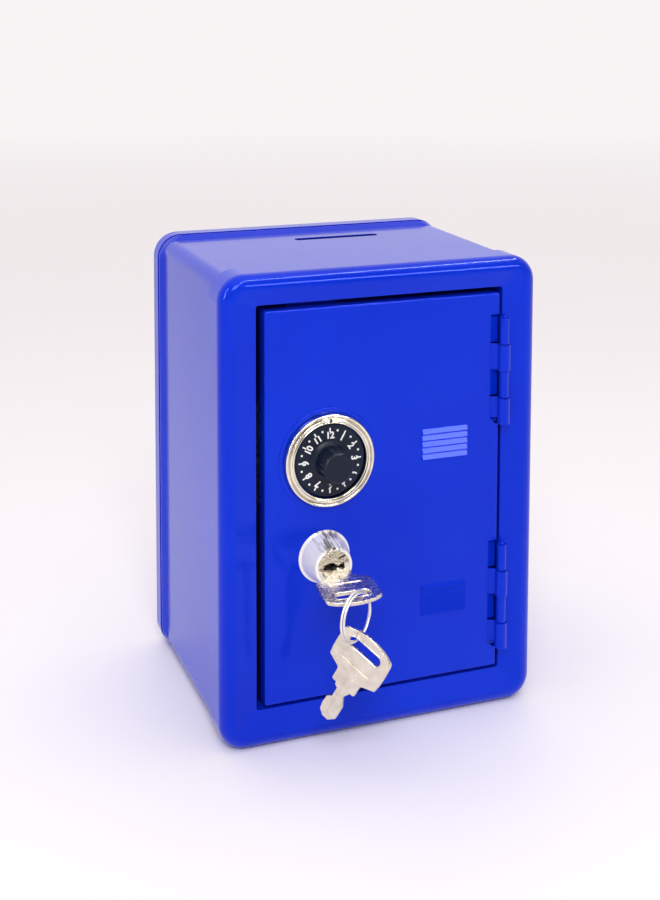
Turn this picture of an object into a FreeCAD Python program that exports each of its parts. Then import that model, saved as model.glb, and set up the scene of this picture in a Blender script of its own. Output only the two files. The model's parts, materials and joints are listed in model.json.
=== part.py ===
import FreeCAD, Part
import Sketcher
import math
import os
import re

# A tin money box made like a small safe: a folded tin case with a pressed front frame and a
# pressed back, a hinged door with a combination dial, and a key lock.
# Frame: +Z up, the front faces -Y, X to the right of someone facing the front. The origin is
# the centre of the bounding box's bottom, keys included, on the plane that the box stands on.

DOC = FreeCAD.newDocument("money_box")
SHEET = DOC.addObject("Spreadsheet::Sheet", "Sizes")

# Driving sizes in millimetres, angles in degrees, each with its own cell.
SIZES = {
    # case
    "width": 129.0,
    "depth": 103.0,
    "height": 180.0,
    "tin": 0.6,
    "case_corner": 10.0,
    "shell_inset": 2.0,
    "shell_corner": 5.0,
    "shell_start": 6.5,
    # front frame
    "frame_skirt": 16.0,
    "frame_edge_round": 5.0,
    "frame_hem": 1.6,
    "frame_ridge": 5.4,
    "frame_dish": 2.0,
    "frame_return": 9.5,
    "border_left": 14.0,
    "border_right": 14.4,
    "border_top": 11.5,
    "border_bottom": 14.5,
    "opening_corner": 1.2,
    "stop_width": 20.0,
    "stop_reach": 4.0,
    "stop_from_edge": 14.0,
    # back panel
    "rim_band": 9.0,
    "rim_groove": 1.0,
    "rim_groove_sink": 1.0,
    "rim_bead": 0.8,
    "rim_bead_inset": 0.3,
    "rim_slope": 3.4,
    "rim_edge_round": 2.5,
    "back_border": 5.0,
    "back_recess": 1.5,
    "back_recess_corner": 5.0,
    # coin slot
    "coin_length": 37.0,
    "coin_width": 4.6,
    "coin_offset": 8.8,
    "coin_from_front": 75.5,
    # door
    "door_face": 1.2,
    "door_pan": 6.0,
    "door_bend": 0.8,
    "door_corner": 1.0,
    "gap_left": 3.1,
    "gap_right": 1.3,
    "gap_top": 2.3,
    "gap_bottom": 1.4,
    "louvre_count": 5.0,
    "louvre_pitch": 2.5,
    "louvre_proud": 0.75,
    "louvre_length": 18.9,
    "louvre_from_right": 13.8,
    "louvre_from_low": 26.7,
    "louvre_rise": 61.9,
    "louvre_lip": 0.35,
    "louvre_gap": 0.4,
    # hinges
    "hinge_pin": 0.9,
    "hinge_ahead": 1.5,
    "hinge_inset": 0.6,
    "hinge_length": 42.2,
    "hinge_gap": 0.3,
    "hinge_from_low": 9.8,
    "hinge_from_high": 11.5,
    "frame_knuckle": 1.9,
    "door_knuckle": 2.5,
    "leaf": 0.8,
    "door_leaf_reach": 15.0,
    "notch_width": 3.7,
    "notch_slant": 2.6,
    "notch_clear": 0.6,
    "running_gap": 0.06,
    # dial
    "dial_margin": 5.2,
    "dial_from_low": 93.8,
    "dial_radius": 13.95,
    "dial_ring_outer": 17.8,
    "dial_ring_inner": 14.3,
    "dial_ring_proud": 3.2,
    "dial_lift": 0.5,
    "dial_thickness": 1.5,
    "knob_radius": 6.0,
    "knob_height": 10.0,
    "knob_scallops": 12.0,
    "knob_scallop_radius": 1.05,
    "bead_gap": 0.3,
    "bead_width": 1.6,
    "bead_proud": 0.45,
    "spindle_radius": 1.5,
    # wheel pack
    "pack_plate_width": 34.0,
    "pack_plate_height": 24.0,
    "pack_plate_sheet": 1.0,
    "post_radius": 4.0,
    "post_shoulder": 6.0,
    "wheel_overlap": 2.0,
    "wheel_clear": 1.6,
    "wheel_sheet": 1.5,
    "wheel_pitch": 2.6,
    "flange_gap": 1.1,
    "peg_radius": 1.2,
    "peg_circle": 15.0,
    "peg_length": 0.8,
    "rivet_radius": 1.5,
    "rivet_inset": 3.5,
    "rivet_head": 0.9,
    "spindle_nut_across": 6.4,
    "spindle_nut_height": 2.0,
    # key lock
    "lock_from_left": 26.5,
    "lock_from_low": 56.3,
    "lock_flange": 10.2,
    "lock_nose": 7.6,
    "lock_proud": 10.7,
    "lock_thread": 7.0,
    "lock_back": 8.7,
    "plug_radius": 5.0,
    "plug_head": 6.1,
    "plug_head_depth": 0.8,
    "plug_neck": 2.4,
    "keyway_width": 8.0,
    "keyway_height": 3.5,
    "keyway_slack": 0.15,
    "lock_nut_across": 17.0,
    "lock_nut_height": 3.0,
    "cam_sheet": 1.2,
    "cam_overlap": 3.2,
    "cam_half_width": 4.5,
    "cam_screw_head": 3.6,
    "cam_screw_shank": 1.4,
    # keys
    "key_sheet": 1.4,
    "key_out": 1.0,
    "key_droop": 7.0,
    "key_neck_half": 1.9,
    "key_blade_half": 3.7,
    "key_blade": 15.0,
    "key_collar": 5.6,
    "key_collar_half": 5.2,
    "key_bow_half": 10.9,
    "key_bow": 17.8,
    "key_bow_crown": 2.8,
    "key_slot_half": 6.9,
    "key_slot_width": 3.8,
    "key_bar": 3.6,
    "key_mark_half": 6.3,
    "key_mark_width": 3.5,
    "key_mark_from_collar": 4.2,
    "key_mark_sink": 0.25,
    "key_groove": 1.0,
    # split ring
    "ring_radius": 8.8,
    "ring_wire": 0.5,
    "ring_room": 1.5,
    "ring_yaw": 35.0,
    "spare_lean": 30.0,
    "spare_yaw": 50.0,
    "spare_hang": 0.6,
}

for row, (alias, value) in enumerate(SIZES.items(), start=1):
    SHEET.set(f"A{row}", alias)
    SHEET.set(f"B{row}", repr(value))
    SHEET.setAlias(f"B{row}", alias)

# Places that follow from the driving sizes, each a formula in the sheet.
DERIVED = {
    "slot_out": "key_collar + key_bow - key_bar - key_slot_width / 2",
    "slot_ahead": "lock_proud + (key_out + slot_out) * cos(key_droop) - door_face",
    "ring_to_slot": "(key_bar + key_slot_width / 2 + ring_room) / (2 * sin(ring_yaw))",
    "ring_below": "sqrt(ring_radius ^ 2 - ring_to_slot ^ 2)",
    "hang_across": "key_slot_half - key_slot_width / 2 - 0.3",
    "corner_across": "key_bow_half - 0.6 + hang_across",
    "corner_out": "key_bow - key_bow_crown + key_collar - slot_out - spare_hang",
    "corner_ahead": "(corner_across * cos(spare_lean) + corner_out * sin(spare_lean)) * sin(spare_yaw)",
    "spare_ahead": "ring_to_slot * sin(ring_yaw) + corner_ahead + key_sheet / 2 * cos(spare_yaw)",
    "front": "(slot_ahead + spare_ahead - depth) / 2",
    "back": "front + depth",
    "open_left": "-width / 2 + border_left",
    "open_right": "width / 2 - border_right",
    "open_low": "border_bottom",
    "open_high": "height - border_top",
    "door_left": "open_left + gap_left",
    "door_right": "open_right - gap_right",
    "door_low": "open_low + gap_bottom",
    "door_high": "open_high - gap_top",
    "door_front": "front + door_face",
    "door_inside": "door_front + tin",
    "hinge_across": "open_right - hinge_inset",
    "hinge_along": "front - hinge_ahead",
    "knuckle": "hinge_length / 4",
    "hinge_lower": "open_low + hinge_from_low",
    "hinge_upper": "open_high - hinge_from_high - hinge_length",
    "dial_from_left": "gap_left + dial_margin + bead_width + bead_gap + dial_ring_outer",
    "dial_across": "open_left + dial_from_left",
    "dial_up": "open_low + dial_from_low",
    "bead_inner": "dial_ring_outer + bead_gap",
    "wheel_radius": "dial_from_left + wheel_overlap",
    "wheel_flat": "dial_from_left - gap_left - wheel_clear",
    "lock_across": "open_left + lock_from_left",
    "lock_up": "open_low + lock_from_low",
    "cam_reach": "lock_from_left + cam_overlap",
    "shell_back": "back - back_recess - tin",
    "rim_front": "back - rim_band - rim_groove - rim_bead - rim_slope",
    "dial_base": "door_front - dial_lift",
    "dial_face": "dial_base - dial_thickness",
    "knob_top": "dial_face - knob_height",
    "first_wheel": "front + frame_return + flange_gap",
    "second_wheel": "first_wheel + wheel_pitch",
    "drive_wheel_front": "second_wheel + wheel_pitch",
    "post_end": "drive_wheel_front - 0.4",
    "spindle_start": "knob_top + 2",
    "spindle_end": "drive_wheel_front + wheel_sheet + spindle_nut_height + 0.6",
    "plug_face": "door_front - lock_proud",
    "lock_end": "door_front + lock_back",
    "cam_front": "lock_end + 0.4",
    "key_rise": "key_sheet / 2 + keyway_slack - keyway_height / 2",
}
for row, (alias, formula) in enumerate(DERIVED.items(), start=len(SIZES) + 1):
    SHEET.set(f"A{row}", alias)
    SHEET.set(f"B{row}", "=" + formula)
    SHEET.setAlias(f"B{row}", alias)
DOC.recompute()

NODES = []


def formula(text):
    """An expression on the sheet's cells, with each name pointed at the sheet."""

    def point(match):
        name = match.group()
        return f"Sizes.{name}" if name in SIZES or name in DERIVED else name

    return re.sub("[a-z_]+", point, text)


def value(text):
    """The number that an expression on the sheet gives now."""
    return float(SHEET.evalExpression(formula(text)))


def bind(thing, path, text):
    thing.setExpression(path, formula(text))


def keep(thing, name):
    """Marks an object as a sub-part of the model, under its node's name."""
    thing.Label = name
    NODES.append(thing)
    return thing


# Sketches -------------------------------------------------------------------------------

def new_sketch(body, role, at):
    """A sketch on one of the body's own planes, moved along the plane's axis to a place.

    On the XZ plane the sketch's normal is -Y, so the offset's sign is turned round there.
    """
    sketch = body.newObject("Sketcher::SketchObject", "sketch")
    plane = next(feature for feature in body.Origin.OriginFeatures if feature.Role == role)
    sketch.AttachmentSupport = [(plane, "")]
    sketch.MapMode = "FlatFace"
    bind(sketch, "AttachmentOffset.Base.z", f"-1 * ( {at} )" if role == "XZ_Plane" else at)
    return sketch


def pin_point(sketch, geometry, end, across, up):
    """Holds a point of the sketch at a place given by two expressions."""
    for kind, text in (("DistanceX", across), ("DistanceY", up)):
        index = sketch.addConstraint(Sketcher.Constraint(kind, -1, 1, geometry, end, value(text)))
        bind(sketch, f"Constraints[{index}]", text)


def draw_polygon(sketch, corners):
    points = [FreeCAD.Vector(value(across), value(up), 0) for across, up in corners]
    count = len(points)
    first = sketch.GeometryCount
    for number in range(count):
        sketch.addGeometry(Part.LineSegment(points[number], points[(number + 1) % count]))
    for number in range(count):
        following = first + (number + 1) % count
        sketch.addConstraint(Sketcher.Constraint("Coincident", first + number, 2, following, 1))
    for number, (across, up) in enumerate(corners):
        pin_point(sketch, first + number, 1, across, up)


def draw_circle(sketch, across, up, radius):
    centre = FreeCAD.Vector(value(across), value(up), 0)
    circle = sketch.addGeometry(Part.Circle(centre, FreeCAD.Vector(0, 0, 1), value(radius)))
    pin_point(sketch, circle, 3, across, up)
    index = sketch.addConstraint(Sketcher.Constraint("Radius", circle, value(radius)))
    bind(sketch, f"Constraints[{index}]", radius)


def draw_rounded(sketch, left, right, low, high, corner):
    """A rectangle with equal round corners, anticlockwise from the lower left."""
    centres = [
        (f"{right} - ( {corner} )", f"{low} + ( {corner} )", -90),
        (f"{right} - ( {corner} )", f"{high} - ( {corner} )", 0),
        (f"{left} + ( {corner} )", f"{high} - ( {corner} )", 90),
        (f"{left} + ( {corner} )", f"{low} + ( {corner} )", 180),
    ]
    radius = value(corner)
    arcs = []
    for across, up, start in centres:
        middle = FreeCAD.Vector(value(across), value(up), 0)
        circle = Part.Circle(middle, FreeCAD.Vector(0, 0, 1), radius)
        arc = Part.ArcOfCircle(circle, math.radians(start), math.radians(start + 90))
        arcs.append(sketch.addGeometry(arc))
    for number, arc in enumerate(arcs):
        begin = sketch.getPoint(arc, 2)
        finish = sketch.getPoint(arcs[(number + 1) % 4], 1)
        line = sketch.addGeometry(Part.LineSegment(begin, finish))
        sketch.addConstraint(Sketcher.Constraint("Tangent", arc, 2, line, 1))
        sketch.addConstraint(Sketcher.Constraint("Tangent", line, 2, arcs[(number + 1) % 4], 1))
    for arc, (across, up, _) in zip(arcs, centres):
        pin_point(sketch, arc, 3, across, up)
        index = sketch.addConstraint(Sketcher.Constraint("Radius", arc, radius))
        bind(sketch, f"Constraints[{index}]", corner)


def draw_outline(sketch, inset, corner):
    """The case's outline seen from the front, drawn in by an inset."""
    half = f"( width / 2 - ( {inset} ) )"
    draw_rounded(sketch, f"-1 * {half}", half, f"( {inset} )", f"( height - ( {inset} ) )", corner)


# Features -------------------------------------------------------------------------------

def new_body(name):
    return DOC.addObject("PartDesign::Body", name)


def extrude(body, sketch, length, cut=False, back=False):
    """Pads or pockets a sketch. The direction is along the axis that the plane faces: +Y for a
    sketch on the XZ plane, +Z on the XY plane, +X on the YZ plane, or the other way when back."""
    feature = body.newObject("PartDesign::Pocket" if cut else "PartDesign::Pad", "feature")
    feature.Profile = sketch
    bind(feature, "Length", length)
    along_normal = sketch.AttachmentSupport[0][0].Role != "XZ_Plane"
    if back:
        along_normal = not along_normal
    # A pad follows the sketch's normal and a pocket goes against it, unless reversed.
    feature.Reversed = along_normal == cut
    before = body.Shape.Volume if body.Shape and not body.Shape.isNull() else 0.0
    DOC.recompute()
    change = body.Shape.Volume - before
    if (change >= 0) == cut:
        raise RuntimeError(f"{body.Name}: a {'pocket' if cut else 'pad'} changed {change:.3f} mm3")
    sketch.Visibility = False
    return feature


def round_edges(body, radius, chosen, kind="PartDesign::Fillet"):
    """Fillets or chamfers the edges of the body that a test picks."""
    base = body.Tip
    names = [f"Edge{number}" for number, edge in enumerate(base.Shape.Edges, start=1) if chosen(edge)]
    feature = body.newObject(kind, "edges")
    feature.Base = (base, names)
    bind(feature, "Radius" if kind == "PartDesign::Fillet" else "Size", radius)
    DOC.recompute()
    return feature


def loft(body, sections, cut=False):
    feature = body.newObject("PartDesign::SubtractiveLoft" if cut else "PartDesign::AdditiveLoft", "loft")
    feature.Profile = sections[0]
    feature.Sections = sections[1:]
    feature.Ruled = True
    DOC.recompute()
    return feature


def revolve(body, profile, along):
    """Turns a profile of (radius, place along Y) about an axis parallel to Y.

    The body is drawn about its own Y axis and its Placement puts it where it belongs."""
    sketch = new_sketch(body, "XY_Plane", "0")
    draw_polygon(sketch, [(radius, place) for radius, place in profile])
    feature = body.newObject("PartDesign::Revolution", "turned")
    feature.Profile = sketch
    feature.ReferenceAxis = (sketch, ["V_Axis"])
    feature.Angle = 360.0
    DOC.recompute()
    place_at(body, *along)
    return feature


def place_at(thing, across="0", along="0", up="0"):
    for letter, text in zip("xyz", (across, along, up)):
        bind(thing, f"Placement.Base.{letter}", text)


def flat_at(edge, letter, place):
    """True when every point of an edge lies on the plane where one coordinate has a value."""
    box = edge.BoundBox
    low = getattr(box, letter.upper() + "Min")
    high = getattr(box, letter.upper() + "Max")
    return abs(low - place) < 0.01 and abs(high - place) < 0.01


def combine(kind, base, tool, name):
    """A Part boolean of two objects."""
    result = DOC.addObject(kind, name)
    result.Base = base
    result.Tool = tool
    result.Refine = True
    DOC.recompute()
    return result


def fuse_all(things, name):
    result = DOC.addObject("Part::MultiFuse", name)
    result.Shapes = things
    result.Refine = True
    DOC.recompute()
    return result


def cylinder(name, radius, length, across, along, up, axis="Z"):
    """A Part cylinder along +Z or +Y."""
    thing = DOC.addObject("Part::Cylinder", name)
    bind(thing, "Radius", radius)
    bind(thing, "Height", length)
    place_at(thing, across, along, up)
    if axis == "Y":
        thing.Placement.Rotation = FreeCAD.Rotation(FreeCAD.Vector(1, 0, 0), -90)
    DOC.recompute()
    return thing


def box(name, low, size):
    thing = DOC.addObject("Part::Box", name)
    for side, text in zip(("Length", "Width", "Height"), size):
        bind(thing, side, text)
    place_at(thing, *low)
    DOC.recompute()
    return thing


# Case -----------------------------------------------------------------------------------

def make_body_shell():
    """The folded tin tube, open at the front and the back, with the coin slot in its top."""
    body = new_body("shell")
    outer = new_sketch(body, "XZ_Plane", "front + shell_start")
    draw_outline(outer, "shell_inset", "shell_corner")
    extrude(body, outer, "shell_back - front - shell_start")
    inner = new_sketch(body, "XZ_Plane", "front + shell_start")
    draw_outline(inner, "shell_inset + tin", "shell_corner - tin")
    extrude(body, inner, "shell_back - front - shell_start", cut=True)
    slot = new_sketch(body, "XY_Plane", "height - shell_inset - 2 * tin")
    draw_rounded(
        slot,
        "coin_offset - coin_length / 2",
        "coin_offset + coin_length / 2",
        "front + coin_from_front - coin_width / 2",
        "front + coin_from_front + coin_width / 2",
        "coin_width * 0.3",
    )
    extrude(body, slot, "3 * tin", cut=True)
    keep(body, "body_shell")


def frame_form(name, layer, opening_depth, skirt):
    """The front frame's outer form, or with a layer of one sheet the hollow behind it."""
    body = new_body(name)
    blank = new_sketch(body, "XZ_Plane", f"front + {layer}")
    draw_outline(blank, layer, f"case_corner - {layer}")
    extrude(body, blank, skirt)
    face = value(f"front + {layer}")
    round_edges(body, f"frame_edge_round - {layer}", lambda edge: flat_at(edge, "y", face))
    ridge = new_sketch(body, "XZ_Plane", f"front + {layer}")
    draw_outline(ridge, "frame_ridge", "case_corner - frame_ridge + 1")
    lip = new_sketch(body, "XZ_Plane", f"front + {layer} + frame_dish")
    draw_opening(lip, layer)
    loft(body, [ridge, lip], cut=True)
    opening = new_sketch(body, "XZ_Plane", "front")
    draw_opening(opening, layer)
    extrude(body, opening, opening_depth, cut=True)
    return body


def draw_opening(sketch, grow):
    draw_rounded(
        sketch,
        f"( open_left - {grow} )",
        f"( open_right + {grow} )",
        f"( open_low - {grow} )",
        f"( open_high + {grow} )",
        f"opening_corner + {grow}",
    )


def make_front_frame():
    """Pressed from one sheet: a rounded edge, a dished face, a flange turned back round the
    opening, and a skirt whose hem grips the shell. Two tabs at the flange's end stop the door."""
    skin = frame_form("frame_skin", "0", "frame_skirt", "frame_skirt")
    hem = new_sketch(skin, "XZ_Plane", "front + frame_skirt - frame_hem")
    draw_outline(hem, "shell_inset", "shell_corner")
    extrude(skin, hem, "frame_hem", cut=True)
    hollow = frame_form("frame_hollow", "tin", "frame_return", "frame_skirt - frame_hem - tin")
    pressed = combine("Part::Cut", skin, hollow, "frame_pressed")
    left = "open_left + stop_from_edge"
    flange_end = "front + frame_return - tin"
    size = ("stop_width", "tin", "stop_reach + tin")
    upper = box("stop_upper", (left, flange_end, "open_high - stop_reach"), size)
    lower = box("stop_lower", (left, flange_end, "open_low - tin"), size)
    keep(fuse_all([pressed, upper, lower], "frame"), "front_frame")


def make_back_panel():
    """A pressed pan that closes the back. Its rim is a flat band, a groove and a bead that
    slopes down to the shell, and its panel is sunk a little inside the rim."""
    body = new_body("back")
    foot = new_sketch(body, "XZ_Plane", "rim_front")
    draw_outline(foot, "shell_inset - 0.02", "shell_corner")
    crest = new_sketch(body, "XZ_Plane", "rim_front + rim_slope")
    draw_outline(crest, "rim_bead_inset", "case_corner - rim_bead_inset")
    loft(body, [foot, crest])
    bead = new_sketch(body, "XZ_Plane", "rim_front + rim_slope")
    draw_outline(bead, "rim_bead_inset", "case_corner - rim_bead_inset")
    extrude(body, bead, "rim_bead")
    groove = new_sketch(body, "XZ_Plane", "rim_front + rim_slope + rim_bead")
    draw_outline(groove, "rim_groove_sink", "case_corner - rim_groove_sink")
    extrude(body, groove, "rim_groove")
    band = new_sketch(body, "XZ_Plane", "back - rim_band")
    draw_outline(band, "0", "case_corner")
    extrude(body, band, "rim_band")
    round_edges(body, "rim_edge_round", lambda edge: flat_at(edge, "y", value("back")))
    inside = new_sketch(body, "XZ_Plane", "rim_front - 1")
    draw_outline(inside, "shell_inset", "shell_corner")
    extrude(body, inside, "shell_back - rim_front + 1", cut=True)
    recess = new_sketch(body, "XZ_Plane", "back - back_recess")
    draw_outline(recess, "back_border", "back_recess_corner")
    extrude(body, recess, "back_recess", cut=True)
    floor = value("back - back_recess")
    round_edges(body, "back_recess * 0.6", lambda edge: flat_at(edge, "y", floor) and inside_border(edge))
    keep(body, "back_panel")


def inside_border(edge):
    return abs(edge.BoundBox.Center.x) < value("width / 2 - back_border + 0.01")


# Door -----------------------------------------------------------------------------------

def make_door_panel():
    """The door: a shallow tin pan with holes for the dial and the lock, notches for the two
    hinges, a raised ring round the dial and two groups of louvres."""
    body = new_body("door")
    blank = new_sketch(body, "XZ_Plane", "door_front")
    draw_rounded(blank, "door_left", "door_right", "door_low", "door_high", "door_corner")
    extrude(body, blank, "door_pan")
    face = value("door_front")
    round_edges(body, "door_bend", lambda edge: flat_at(edge, "y", face))
    inner = new_sketch(body, "XZ_Plane", "door_inside")
    sides = ("door_left + tin", "door_right - tin", "door_low + tin", "door_high - tin")
    draw_polygon(inner, rectangle(*sides))
    extrude(body, inner, "door_pan", cut=True)
    raised = new_sketch(body, "XZ_Plane", "door_front - bead_proud")
    draw_circle(raised, "dial_across", "dial_up", "bead_inner + bead_width")
    draw_circle(raised, "dial_across", "dial_up", "bead_inner")
    extrude(body, raised, "bead_proud + tin / 2")
    top = value("door_front - bead_proud")
    round_edges(body, "bead_proud * 0.8", lambda edge: flat_at(edge, "y", top))
    lowest = "open_low + louvre_from_low"
    for start in (lowest, f"{lowest} + louvre_rise"):
        add_louvres(body, start)
    holes = new_sketch(body, "XZ_Plane", "door_front - 1")
    draw_circle(holes, "dial_across", "dial_up", "post_radius")
    draw_circle(holes, "lock_across", "lock_up", "lock_thread")
    extrude(body, holes, "2 + tin", cut=True)
    for low in ("hinge_lower", "hinge_upper"):
        notch = new_sketch(body, "XZ_Plane", "door_front - 1")
        draw_polygon(notch, notch_corners(low))
        extrude(body, notch, "door_pan + 2", cut=True)
    keep(body, "door_panel")


def rectangle(left, right, low, high):
    return [(left, low), (right, low), (right, high), (left, high)]


def centred(width, height):
    return rectangle(f"-1 * {width} / 2", f"{width} / 2", f"-1 * {height} / 2", f"{height} / 2")


def notch_corners(low):
    """The hinge notch in the door's edge, cut slanting at its lower end."""
    left = "hinge_across - 1 - notch_width"
    right = "door_right + 1"
    foot = f"{low} - notch_clear"
    high = f"{low} + hinge_length + notch_clear"
    return [
        (left, high),
        (left, f"{foot} + notch_slant"),
        (f"{left} + notch_slant", foot),
        (right, foot),
        (right, high),
    ]


def add_louvres(body, start):
    """A group of ribs, each with a long slope on top and a short one below."""
    for number in range(int(value("louvre_count"))):
        low = f"{start} + {number} * louvre_pitch"
        high = f"{low} + louvre_pitch - louvre_gap"
        rib = new_sketch(body, "YZ_Plane", "door_right - louvre_from_right - louvre_length")
        draw_polygon(
            rib,
            [
                ("door_front + tin / 2", low),
                ("door_front", low),
                ("door_front - louvre_proud", f"{low} + louvre_lip"),
                ("door_front", high),
                ("door_front + tin / 2", high),
            ],
        )
        extrude(body, rib, "louvre_length")


def make_hinge(place, low):
    """One hinge: four knuckles, the first and third from the top on the case, the others on
    the door, and its pin."""
    case_parts = []
    door_parts = []
    for number in range(4):
        on_case = number in (1, 3)
        foot = f"{low} + {number} * knuckle + hinge_gap / 2"
        radius = "frame_knuckle" if on_case else "door_knuckle"
        name = f"knuckle_{place}_{number}"
        tube = cylinder(name, radius, "knuckle - hinge_gap", "hinge_across", "hinge_along", foot)
        if on_case:
            depth = "frame_return - tin + hinge_ahead - hinge_pin - 0.3"
            finger = box(
                f"finger_{place}_{number}",
                ("hinge_across", "hinge_along + hinge_pin + 0.3", foot),
                ("hinge_inset", depth, "knuckle - hinge_gap"),
            )
            case_parts += [tube, finger]
        else:
            lift = "0" if number else "notch_slant - notch_clear"
            door_parts += [tube, door_finger(f"finger_{place}_{number}", foot, lift)]
    case_parts.append(box(
        f"case_leaf_{place}",
        ("hinge_across", "front + 3", f"{low} + hinge_gap / 2"),
        ("hinge_inset", "frame_return - tin - 3", "hinge_length - hinge_gap"),
    ))
    door_parts.append(box(
        f"door_leaf_{place}",
        ("hinge_across - 5 - door_leaf_reach + 0.1", "door_inside", f"{low} + hinge_gap / 2"),
        ("door_leaf_reach", "leaf", "hinge_length - hinge_gap"),
    ))
    add_leaf(place, low, case_parts, "hinge_frame_leaf", "hinge_pin")
    add_leaf(place, low, door_parts, "hinge_door_leaf", "hinge_pin + running_gap")
    pin = cylinder(
        f"pin_{place}", "hinge_pin", "hinge_length + 1.2", "hinge_across", "hinge_along", f"{low} - 0.6"
    )
    rounded = DOC.addObject("Part::Fillet", f"pin_round_{place}")
    rounded.Base = pin
    rounded.Edges = [(1, 0.3, 0.3), (3, 0.3, 0.3)]
    DOC.recompute()
    keep(rounded, f"hinge_pin_{place}")


def add_leaf(place, low, parts, name, bore):
    """Fuses a leaf's pieces and bores its knuckles."""
    solid = fuse_all(parts, f"{name}_{place}_solid")
    along_pin = ("hinge_across", "hinge_along", f"{low} - 2")
    hole = cylinder(f"{name}_{place}_bore", bore, "hinge_length + 4", *along_pin)
    keep(combine("Part::Cut", solid, hole, f"{name}_{place}_cut"), f"{name}_{place}")


def door_finger(name, foot, lift):
    """The strip that comes out of the notch from behind the door and meets its knuckle. The
    lowest one starts a little higher, clear of the notch's slanting end."""
    body = new_body(name)
    sketch = new_sketch(body, "XY_Plane", f"{foot} + {lift}")
    draw_polygon(
        sketch,
        [
            ("hinge_across - 5.2", "door_inside"),
            ("hinge_across - 4.6", "door_inside"),
            ("hinge_across - 1.6", "hinge_along + 1.7"),
            ("hinge_across", "hinge_along + 1.7"),
            ("hinge_across", "hinge_along + 2.45"),
            ("hinge_across - 1.4", "hinge_along + 2.45"),
            ("hinge_across - 4.4", "door_inside + leaf"),
            ("hinge_across - 5.2", "door_inside + leaf"),
        ],
    )
    extrude(body, sketch, f"knuckle - hinge_gap - ({lift})")
    return body


# Dial and wheel pack --------------------------------------------------------------------

DIAL_AXIS = ("dial_across", "0", "dial_up")
LOCK_AXIS = ("lock_across", "0", "lock_up")


def make_dial_ring():
    """The plated ring round the dial, fixed to the door, with an index notch at the top."""
    body = new_body("ring")
    outer = "dial_ring_outer"
    inner = "dial_ring_inner"
    crest = "door_front - dial_ring_proud"
    revolve(
        body,
        [
            (inner, "door_front"),
            (outer, "door_front"),
            (outer, "door_front - 1.2"),
            (f"{outer} - 0.5", f"{crest} + 0.5"),
            (f"{outer} - 1.2", crest),
            (f"{inner} + 1", crest),
            (inner, f"{crest} + 1.1"),
        ],
        DIAL_AXIS,
    )
    notch = new_sketch(body, "XZ_Plane", crest)
    middle = f"{inner} + 1.1"
    draw_polygon(notch, [("-0.9", f"{middle} + 1.5"), ("0", f"{middle} - 0.3"), ("0.9", f"{middle} + 1.5")])
    extrude(body, notch, "0.35", cut=True)
    keep(body, "dial_ring")


def make_combination_dial():
    """One moulding: the numbered disc and its scalloped knob, hollow for the spindle."""
    body = new_body("dial")
    revolve(
        body,
        [
            ("spindle_radius", "dial_base"),
            ("dial_radius - 0.3", "dial_base"),
            ("dial_radius", "dial_base - 0.3"),
            ("dial_radius", "dial_face + 0.35"),
            ("dial_radius - 0.4", "dial_face"),
            ("knob_radius + 1.6", "dial_face - 0.25"),
            ("knob_radius + 0.5", "dial_face - 1"),
            ("knob_radius", "dial_face - 1.8"),
            ("knob_radius - 0.2", "knob_top + 0.7"),
            ("knob_radius - 0.8", "knob_top"),
            ("0", "knob_top"),
            ("0", "knob_top + 2"),
            ("spindle_radius", "knob_top + 2"),
        ],
        DIAL_AXIS,
    )
    scallop = new_sketch(body, "XZ_Plane", "knob_top - 1")
    draw_circle(scallop, "0", "knob_radius + knob_scallop_radius * 0.55", "knob_scallop_radius")
    cut = extrude(body, scallop, "knob_height - 0.6", cut=True)
    pattern = body.newObject("PartDesign::PolarPattern", "scallops")
    pattern.Originals = [cut]
    middle = next(feature for feature in body.Origin.OriginFeatures if feature.Role == "Y_Axis")
    pattern.Axis = (middle, [""])
    pattern.Angle = 360.0
    pattern.Occurrences = int(value("knob_scallops"))
    body.Tip = pattern
    DOC.recompute()
    keep(body, "combination_dial")


def dial_rod(name, radius, start, end):
    """A cylinder on the dial's axis from one place along Y to another."""
    length = f"{end} - ( {start} )"
    return cylinder(name, radius, length, "dial_across", start, "dial_up", axis="Y")


def make_spindle():
    keep(dial_rod("spindle", "spindle_radius", "spindle_start", "spindle_end"), "dial_spindle")


def make_pack_plate():
    """The plate that is riveted behind the door, with the stepped post that the wheels turn on."""
    plate = box(
        "pack_plate",
        ("dial_across - pack_plate_width / 2", "door_inside", "dial_up - pack_plate_height / 2"),
        ("pack_plate_width", "pack_plate_sheet", "pack_plate_height"),
    )
    shoulder = dial_rod("post_shoulder", "post_shoulder", "door_inside", "first_wheel - 0.2")
    post = dial_rod("post", "post_radius", "door_inside", "post_end")
    bore = dial_rod("post_bore", "spindle_radius + running_gap", "door_inside - 1", "post_end + 1")
    solid = fuse_all([plate, shoulder, post], "pack_solid")
    bored = combine("Part::Cut", solid, bore, "pack_bored")
    holes = rivet_cylinders("rivet_hole", "rivet_radius", "door_inside - 1", "pack_plate_sheet + 2")
    keep(combine("Part::Cut", bored, fuse_all(holes, "rivet_holes"), "pack_drilled"), "wheel_pack_plate")


def rivet_cylinders(name, radius, start, length):
    """One cylinder at each corner of the plate."""
    made = []
    for number, (side, level) in enumerate(((-1, -1), (1, -1), (1, 1), (-1, 1))):
        across = f"dial_across + {side} * ( pack_plate_width / 2 - rivet_inset )"
        up = f"dial_up + {level} * ( pack_plate_height / 2 - rivet_inset )"
        made.append(cylinder(f"{name}_{number}", radius, length, across, start, up, axis="Y"))
    return made


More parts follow.
